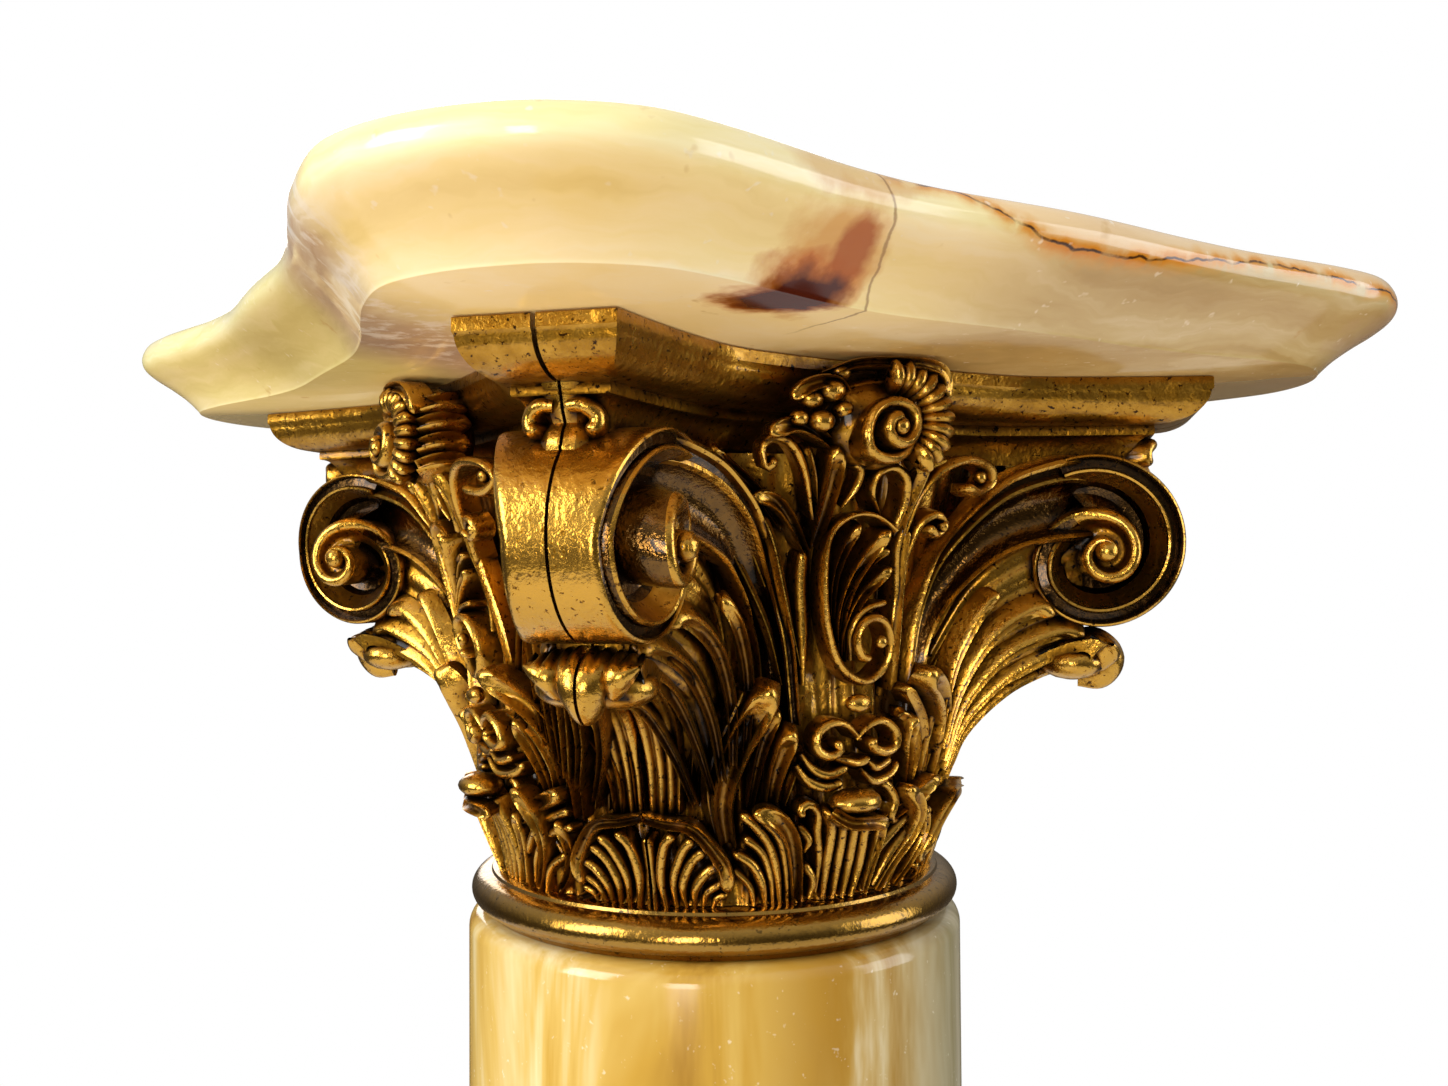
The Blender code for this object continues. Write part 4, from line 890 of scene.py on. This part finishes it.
# the horn's own body, as (reach, height) along the corner, and its hammered front lobes
HORN_SPINE = (
    (66, 26), (70, 40), (79, 53), (92, 61), (105, 67.5), (114, 69), (119.5, 65), (119.8, 59.5),
    (116, 55.5), (110, 56),
)
HORN_ROWS = 56
spine = eased(HORN_SPINE, HORN_ROWS)
rings = []
for i, (reach, height) in enumerate(spine):
    t = i / (HORN_ROWS - 1)
    half = np.interp(t, (0, 0.26, 0.52, 0.68, 0.8, 0.92, 1.0), (9, 12.0, 13.5, 13.0, 13.5, 11.5, 8.0))
    ahead = spine[min(i + 1, HORN_ROWS - 1)] - spine[max(i - 1, 0)]
    normal = np.array([ahead[1], -ahead[0]]) / (hypot(*ahead) + 1e-9) * -1
    ring = []
    for s in np.linspace(0, 1, 34):
        rib = 1.5 * abs(sin(s * pi * 4.5)) ** 0.7 * min(1.0, max(0.0, (0.70 - t) / 0.15))
        lobed = abs(cos(s * pi * 1.25)) ** 0.55
        lobe = 2.6 * lobed * min(1.0, max(0.0, (t - 0.52) / 0.2)) + rib - 3.0 * s * s
        drop = ((1 - lobed) * 1.6 + 8.0 * s**1.4) * min(1.0, max(0.0, t - 0.60) / 0.24)
        ring.append((SEAM + s * half, reach + normal[0] * lobe, height + normal[1] * lobe + drop))
    for s in np.linspace(1, 0, 34):
        back = 3.0 + 1.6 * abs(sin(s * pi * 3.5)) ** 0.7 * min(1.0, max(0.0, (0.9 - t) / 0.2))
        back += 3.5 * min(1.0, max(0.0, (t - 0.5) / 0.15)) - 5.0 * max(0.0, (t - 0.8) / 0.2)
        drop = 8.0 * s**1.4 * min(1.0, max(0.0, t - 0.60) / 0.24)
        ring.append((SEAM + s * (half - 0.6), reach - normal[0] * back, height - normal[1] * back + drop))
    rings.append([sideways * q + outward * x + up * z for q, x, z in ring])
add_rings(rings, both=True)
ball(outward * 108 + sideways * 5.5 + up * 61, 5.5, (1.7, 1.7, 0.95), both=True)

# Bracket between volute and abacus corner, as (height, half width, reach), with a curl beside it
BRACKET = (
    (110, 5.0, 130), (114, 5.4, 131), (117.5, 5.4, 129.5), (119.5, 4.6, 128), (122, 5.2, 129.5),
    (125, 5.6, 130.5), (128.5, 6.0, 132),
)
rings = []
for height, half, reach in BRACKET:
    ring = ((SEAM, 90), (SEAM, reach), (half * 0.6, reach), (half, reach - 2), (half, 90))
    rings.append([sideways * q + outward * x + up * height for q, x in ring])
add_rings(rings, both=True)
CURL = ((2, 130, 123), (5.0, 130.5, 123), (7.5, 129, 121), (7.5, 129, 118.5), (5.5, 130, 117.8))
sweep("rod", 1.9, 1.8, [sideways * q + outward * x + up * z for q, x, z in CURL], foot=0.8, both=True)


def whole_casting(name):
    """One mesh from all the shells, cut back to the seam planes, in metres at its place on the column."""
    points, faces, dark, rubbed, count = [], [], [], [], 0
    for shell, shell_faces, shell_dark, shell_rubbed in shells:
        points.append(shell)
        rubbed.extend([shell_rubbed] * len(shell))
        dark.extend(len(faces) + k for k in shell_dark)
        faces.extend(tuple(int(k) + count for k in face) for face in shell_faces)
        count += len(shell)
    points = np.vstack(points)
    for hand in (-1, 1):
        across = np.array([hand * cos(pi / 4), sin(pi / 4), 0.0])
        over = np.maximum(points @ across + SEAM, 0.0)
        points -= np.outer(over, across)
    points /= 1000
    points[:, 2] += CAPITAL_FOOT
    thing = mesh_piece(name, points.tolist(), faces)
    work = bmesh.new()
    work.from_mesh(thing.data)
    bmesh.ops.recalc_face_normals(work, faces=work.faces)
    work.to_mesh(thing.data)
    work.free()
    thing.data.shade_smooth()
    thing.data.set_sharp_from_angle(angle=radians(38))
    thing.data.materials.append(cast_brass)
    thing.data.materials.append(dark_lacquer)
    for k in dark:
        thing.data.polygons[k].material_index = 1
    shade_hollows(thing, 0.005, 0.018)
    openness = thing.data.attributes["openness"].data
    levels = np.empty(len(openness))
    openness.foreach_get("value", levels)
    openness.foreach_set("value", levels * rubbed)
    return thing


quarter = whole_casting("capital_cast_front")
for name, turn in (("front", 0), ("right", 90), ("back", 180), ("left", 270)):
    casting = quarter
    if turn:
        casting = quarter.copy()
        casting.name = "capital_cast_" + name
        bpy.context.scene.collection.objects.link(casting)
        casting.rotation_euler = (0, 0, radians(turn))
    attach(casting, "root")
    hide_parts("capital_quarter_" + name)


# Top slab: one piece of cream onyx, sawn and ground to a round nose, with four scooped sides. The nose runs
# in below to a smaller underside. The whole edge is polished, and the slab lies on the abacus.

# by face or corner, round from the front: reach of the plain edge, reach of the lobe, and the lobe's turn
SLAB_REACHES = (0.1560, 0.1480, 0.1480, 0.1400)
SLAB_CORNERS = (0.2020, 0.1945, 0.1945, 0.1945)
SLAB_TURNS = (0.07, 0.0, 0.0, 0.0)
SLAB_FOOT_INSET = 0.0190
# how a scoop swells to its lobe, as (share of the way, share of the swell)
SWELL = (
    (0.0, 0.0), (0.30, 0.06), (0.48, 0.23), (0.60, 0.44), (0.70, 0.66), (0.80, 0.87), (0.90, 0.97),
    (1.0, 1.0),
)
# the edge's section, as (share of the foot inset, share of the thickness)
NOSE = (
    (1.05, 0.0), (1.0, 0.05), (0.80, 0.20), (0.52, 0.36), (0.24, 0.50), (0.06, 0.62), (0.0, 0.74),
    (0.04, 0.86), (0.14, 0.95), (0.34, 1.0),
)


def slab_outline(inset, fine=12):
    """Plan of the slab as an (n, 2) array, anticlockwise from the front's left corner."""
    outline = []
    for face, reach in enumerate(SLAB_REACHES):
        for side in (-1, 1):
            corner = (face + (side > 0)) % 4
            shares = SWELL[::-1] if side < 0 else SWELL[1:-1]
            for share, swell in shares:
                radius = reach + swell * (SLAB_CORNERS[corner] - reach) - inset
                angle = face * pi / 2 + side * share * pi / 4
                angle += SLAB_TURNS[corner] * max(0.0, share - 0.3) / 0.7
                outline.append((radius * sin(angle), -radius * cos(angle)))
    outline = np.array(outline)
    looped = np.vstack([outline[-2:], outline, outline[:3]])
    curve = eased(looped, (len(looped) - 1) * fine + 1)
    return curve[2 * fine : -2 * fine][: len(outline) * fine]


# Polished cream onyx: milky and deep, warm yellow at the near lobe and greyer beyond, with faint level bands,
# small tan flecks, one rust patch below and one orange vein with a dark thread along the front.
WARM = ((0.25, "#EEDA94"), (0.45, "#FAEAAC"), (0.60, "#FEF0C0"), (0.80, "#FFF8DC"))
OLIVE = ((0.25, "#AC935E"), (0.45, "#C4AA72"), (0.60, "#D2BE8C"), (0.80, "#EADFC0"))
PINK = ((0.25, "#A98E80"), (0.42, "#CFB498"), (0.54, "#E2D2BC"), (0.64, "#FBF8F4"))
GREEN = ((0.25, "#D8CB80"), (0.46, "#E8DC9C"), (0.60, "#F0E5B0"), (0.78, "#F8F0D0"))
SCOOP_WAY = (-0.60, 0.80, 0.0)
slab_onyx, tree, shader, place = onyx("polished_cream_onyx")
# the clouds, 70 mm wide, bend everything else by up to 11 mm
warp = put(tree, "TexNoise", {"Vector": place, "Scale": 14.0, "Detail": 5.0, "Roughness": 0.6})
offset = put(tree, "VectorMath", {0: warp.outputs["Color"], 1: (0.5, 0.5, 0.5)}, operation="SUBTRACT")
moved = put(tree, "VectorMath", {0: offset, "Scale": 0.022}, operation="SCALE")
bent_place = put(tree, "VectorMath", {0: place, 1: moved}, operation="ADD")
parts = put(tree, "SeparateXYZ", {0: place})
# level layers, about 80 mm long and 7 mm deep
level_place = put(tree, "Mapping", {"Vector": bent_place, "Scale": (0.7, 0.7, 9.0)})
layers = put(tree, "TexNoise", {"Vector": level_place, "Scale": 17.0, "Detail": 4.0, "Roughness": 0.58})
tone = put(tree, "ValToRGB", {"Fac": layers}, WARM)
# each zone of colour starts along a direction in plan: (colours, direction, its start, where it is full)
ZONES = (
    (OLIVE, (0.92, 0.39, 0.0), -0.095, -0.045),
    (PINK, SCOOP_WAY, -0.010, 0.018),
    (GREEN, SCOOP_WAY, 0.030, 0.055),
)
for stops, direction, start, full in ZONES:
    zone = put(tree, "ValToRGB", {"Fac": layers}, stops)
    along = put(tree, "VectorMath", {0: bent_place, 1: direction}, operation="DOT_PRODUCT")
    reach = {0: along.outputs["Value"], 1: start, 2: full}
    share = put(tree, "MapRange", reach, interpolation_type="SMOOTHSTEP")
    tone = put(tree, "MixRGB", {"Fac": share, "Color1": tone, "Color2": zone})
# painted highlights: silvery upright streaks, 6 mm wide, on the left scoop's polish, in place of the light it
# mirrors
along_scoop = put(tree, "VectorMath", {0: bent_place, 1: SCOOP_WAY}, operation="DOT_PRODUCT")
off_scoop = put(tree, "Math", {0: along_scoop.outputs["Value"], 1: 0.016}, operation="SUBTRACT")
off_scoop = put(tree, "Math", {0: off_scoop}, operation="ABSOLUTE")
in_scoop = put(tree, "MapRange", {0: off_scoop, 1: 0.024, 2: 0.008, 3: 0.0, 4: 0.7})
upright_place = put(tree, "Mapping", {"Vector": place, "Scale": (1.0, 1.0, 0.22)})
grain = {"Vector": upright_place, "Scale": 170.0, "Detail": 4.0, "Roughness": 0.6}
scoop_highlight_noise = put(tree, "TexNoise", grain)
scoop_highlight = put(tree, "MapRange", {0: scoop_highlight_noise, 1: 0.50, 2: 0.62})
scoop_highlight = put(tree, "Math", {0: scoop_highlight, 1: in_scoop}, operation="MULTIPLY")
tone = put(tree, "MixRGB", {"Fac": scoop_highlight, "Color1": tone, "Color2": linear("#FAF6F4")})
# the vein lies on a wavy sheet through the front: (x, height above VEIN_LEVEL), both in millimetres
VEIN_LEVEL = 1.030
VEIN_DEPTH = 12.0
VEIN = (
    (-60, 8.0), (-51.5, 10.4), (-35, 11.0), (-24, 7.6), (-13, 3.9), (-3, 2.0), (15, 2.8), (38, 5.4),
    (67, 7.1), (89, 6.5), (109, 7.1), (140, 4.0),
)
run = put(tree, "MapRange", {0: parts.outputs["X"], 1: -0.060, 2: 0.140})
course = put(tree, "ValToRGB", {"Fac": run}, [((x + 60) / 200, height / VEIN_DEPTH) for x, height in VEIN])
over = put(tree, "Math", {0: parts.outputs["Z"], 1: VEIN_LEVEL}, operation="SUBTRACT")
ripple = put(tree, "Math", {0: warp, 1: -0.010, 2: over}, operation="MULTIPLY_ADD")
fine_warp = put(tree, "TexNoise", {"Vector": place, "Scale": 130.0, "Detail": 4.0})
ripple = put(tree, "Math", {0: fine_warp, 1: -0.0025, 2: ripple}, operation="MULTIPLY_ADD")
ripple = put(tree, "Math", {0: ripple, 1: 0.00625}, operation="ADD")
depth = {0: course, 1: -VEIN_DEPTH / 1000, 2: ripple}
apart = put(tree, "Math", depth, operation="MULTIPLY_ADD")
near = put(tree, "Math", {0: apart}, operation="ABSOLUTE")
front = put(tree, "MapRange", {0: parts.outputs["Y"], 1: -0.105, 2: -0.125})
started = put(tree, "MapRange", {0: parts.outputs["X"], 1: -0.056, 2: -0.046})
here = put(tree, "Math", {0: front, 1: started}, operation="MULTIPLY")
# over the vein the stone is paler and pinker
above = put(tree, "MapRange", {0: apart, 1: 0.0, 2: 0.0012})
pale = put(tree, "Math", {0: above, 1: here}, operation="MULTIPLY")
pale = put(tree, "Math", {0: pale, 1: 0.75}, operation="MULTIPLY")
tone = put(tree, "MixRGB", {"Fac": pale, "Color1": tone, "Color2": linear("#F2CFA0")})
# its amber halo, its orange body and the dark thread in it: (half width in metres, colour, strength)
THREADS = ((0.0034, "#E6A84C", 0.70), (0.0017, "#D98A1C", 0.90), (0.0004, "#2E1604", 0.95))
for wide, colour, strength in THREADS:
    share = put(tree, "MapRange", {0: near, 1: wide, 2: wide * 0.35, 3: 0.0, 4: strength})
    patchy = put(tree, "MapRange", {0: fine_warp, 1: 0.36, 2: 0.54})
    share = put(tree, "Math", {0: share, 1: patchy}, operation="MULTIPLY")
    share = put(tree, "Math", {0: share, 1: here}, operation="MULTIPLY")
    tone = put(tree, "MixRGB", {"Fac": share, "Color1": tone, "Color2": linear(colour)})
# tan flecks spaced about 10 mm, and white chips about 5 mm
flecks = put(tree, "TexNoise", {"Vector": place, "Scale": 95.0, "Detail": 3.0, "Roughness": 0.7})
tan = put(tree, "MapRange", {0: flecks, 1: 0.66, 2: 0.76, 3: 0.0, 4: 0.55})
tone = put(tree, "MixRGB", {"Fac": tan, "Color1": tone, "Color2": linear("#C99A52")})
chips = put(tree, "TexNoise", {"Vector": place, "Scale": 210.0, "Detail": 2.0, "Roughness": 0.8})
white = put(tree, "MapRange", {0: chips, 1: 0.67, 2: 0.74, 3: 0.0, 4: 0.55})
tone = put(tree, "MixRGB", {"Fac": white, "Color1": tone, "Color2": linear("#FBF6E6")})
# stains, as (centre, half sizes, colour, strength): the rust patch is a dark core in two ambers, and the last
# is a blush at the right lobe
STAINS = (
    ((-0.0600, -0.1560, 1.0395), (0.0220, 0.016, 0.0060), "#D9A25C", 0.55),
    ((-0.0615, -0.1440, 1.0260), (0.0160, 0.022, 0.0140), "#D89A3C", 0.70),
    ((-0.0660, -0.1380, 1.0195), (0.0185, 0.018, 0.0075), "#C46A00", 0.95),
    ((-0.0575, -0.1480, 1.0270), (0.0064, 0.013, 0.0080), "#B05A00", 0.90),
    ((-0.0655, -0.1370, 1.0190), (0.0155, 0.014, 0.0058), "#4C1400", 1.00),
    ((0.1350, -0.1250, 1.0330), (0.0400, 0.040, 0.0200), "#D2B4A0", 0.50),
)
for centre, size, colour, strength in STAINS:
    shifted = put(tree, "VectorMath", {0: bent_place, 1: centre}, operation="SUBTRACT")
    scaled = put(tree, "VectorMath", {0: shifted, 1: size}, operation="DIVIDE")
    away = put(tree, "VectorMath", {0: scaled}, operation="LENGTH").outputs["Value"]
    rough = put(tree, "Math", {0: fine_warp, 1: 0.9, 2: away}, operation="MULTIPLY_ADD")
    share = put(tree, "MapRange", {0: rough, 1: 1.45, 2: 1.05, 3: 0.0, 4: strength})
    tone = put(tree, "MixRGB", {"Fac": share, "Color1": tone, "Color2": linear(colour)})
# a hairline crack comes down the front beside the rust patch
CRACK_LEAN = 0.477
CRACK_TOP = (-0.0523, 1.0376)
leant = {0: parts.outputs["Z"], 1: CRACK_LEAN, 2: parts.outputs["X"]}
slope = put(tree, "Math", leant, operation="MULTIPLY_ADD")
strayed = put(tree, "Math", {0: fine_warp, 1: 0.004, 2: slope}, operation="MULTIPLY_ADD")
crack = CRACK_TOP[1] * CRACK_LEAN + CRACK_TOP[0] + 0.002
beside = put(tree, "Math", {0: strayed, 1: crack}, operation="SUBTRACT")
beside = put(tree, "Math", {0: beside}, operation="ABSOLUTE")
hairline = put(tree, "MapRange", {0: beside, 1: 0.0006, 2: 0.0002, 3: 0.0, 4: 0.6})
hairline = put(tree, "Math", {0: hairline, 1: front}, operation="MULTIPLY")
tone = put(tree, "MixRGB", {"Fac": hairline, "Color1": tone, "Color2": linear("#7A4418")})
# painted shade: the more the underside faces down, the darker and warmer its colour is made, below the
# polished nose
facing = put(tree, "SeparateXYZ", {0: put(tree, "NewGeometry").outputs["Normal"]})
under = put(tree, "MapRange", {0: facing.outputs["Z"], 1: -0.25, 2: -0.95, 3: 0.0, 4: 0.7})
painted_underside_shade = {"Fac": under, "Color1": tone, "Color2": linear("#EAC694")}
tone = put(tree, "MixRGB", painted_underside_shade, blend_type="MULTIPLY")
tree.links.new(tone.outputs[0], shader.inputs["Base Color"])


slab_low, slab_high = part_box("top_slab")
SLAB_THICKNESS = slab_high[2] - slab_low[2]
NOSE_ROWS = 46
rings = []
for share, lift in eased(NOSE, NOSE_ROWS):
    plan = slab_outline(max(share, 0.0) * SLAB_FOOT_INSET)
    level = np.full((len(plan), 1), slab_low[2] + min(max(lift, 0.0), 1.0) * SLAB_THICKNESS)
    rings.append(np.hstack([plan, level]))
for shrink in (0.97, 0.5):
    top = rings[NOSE_ROWS - 1].copy()
    top[:, :2] *= shrink
    rings.append(top)
top_slab = lofted("top_slab_onyx", rings)
top_slab.data.materials.append(slab_onyx)
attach(top_slab, "root")
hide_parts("top_slab")
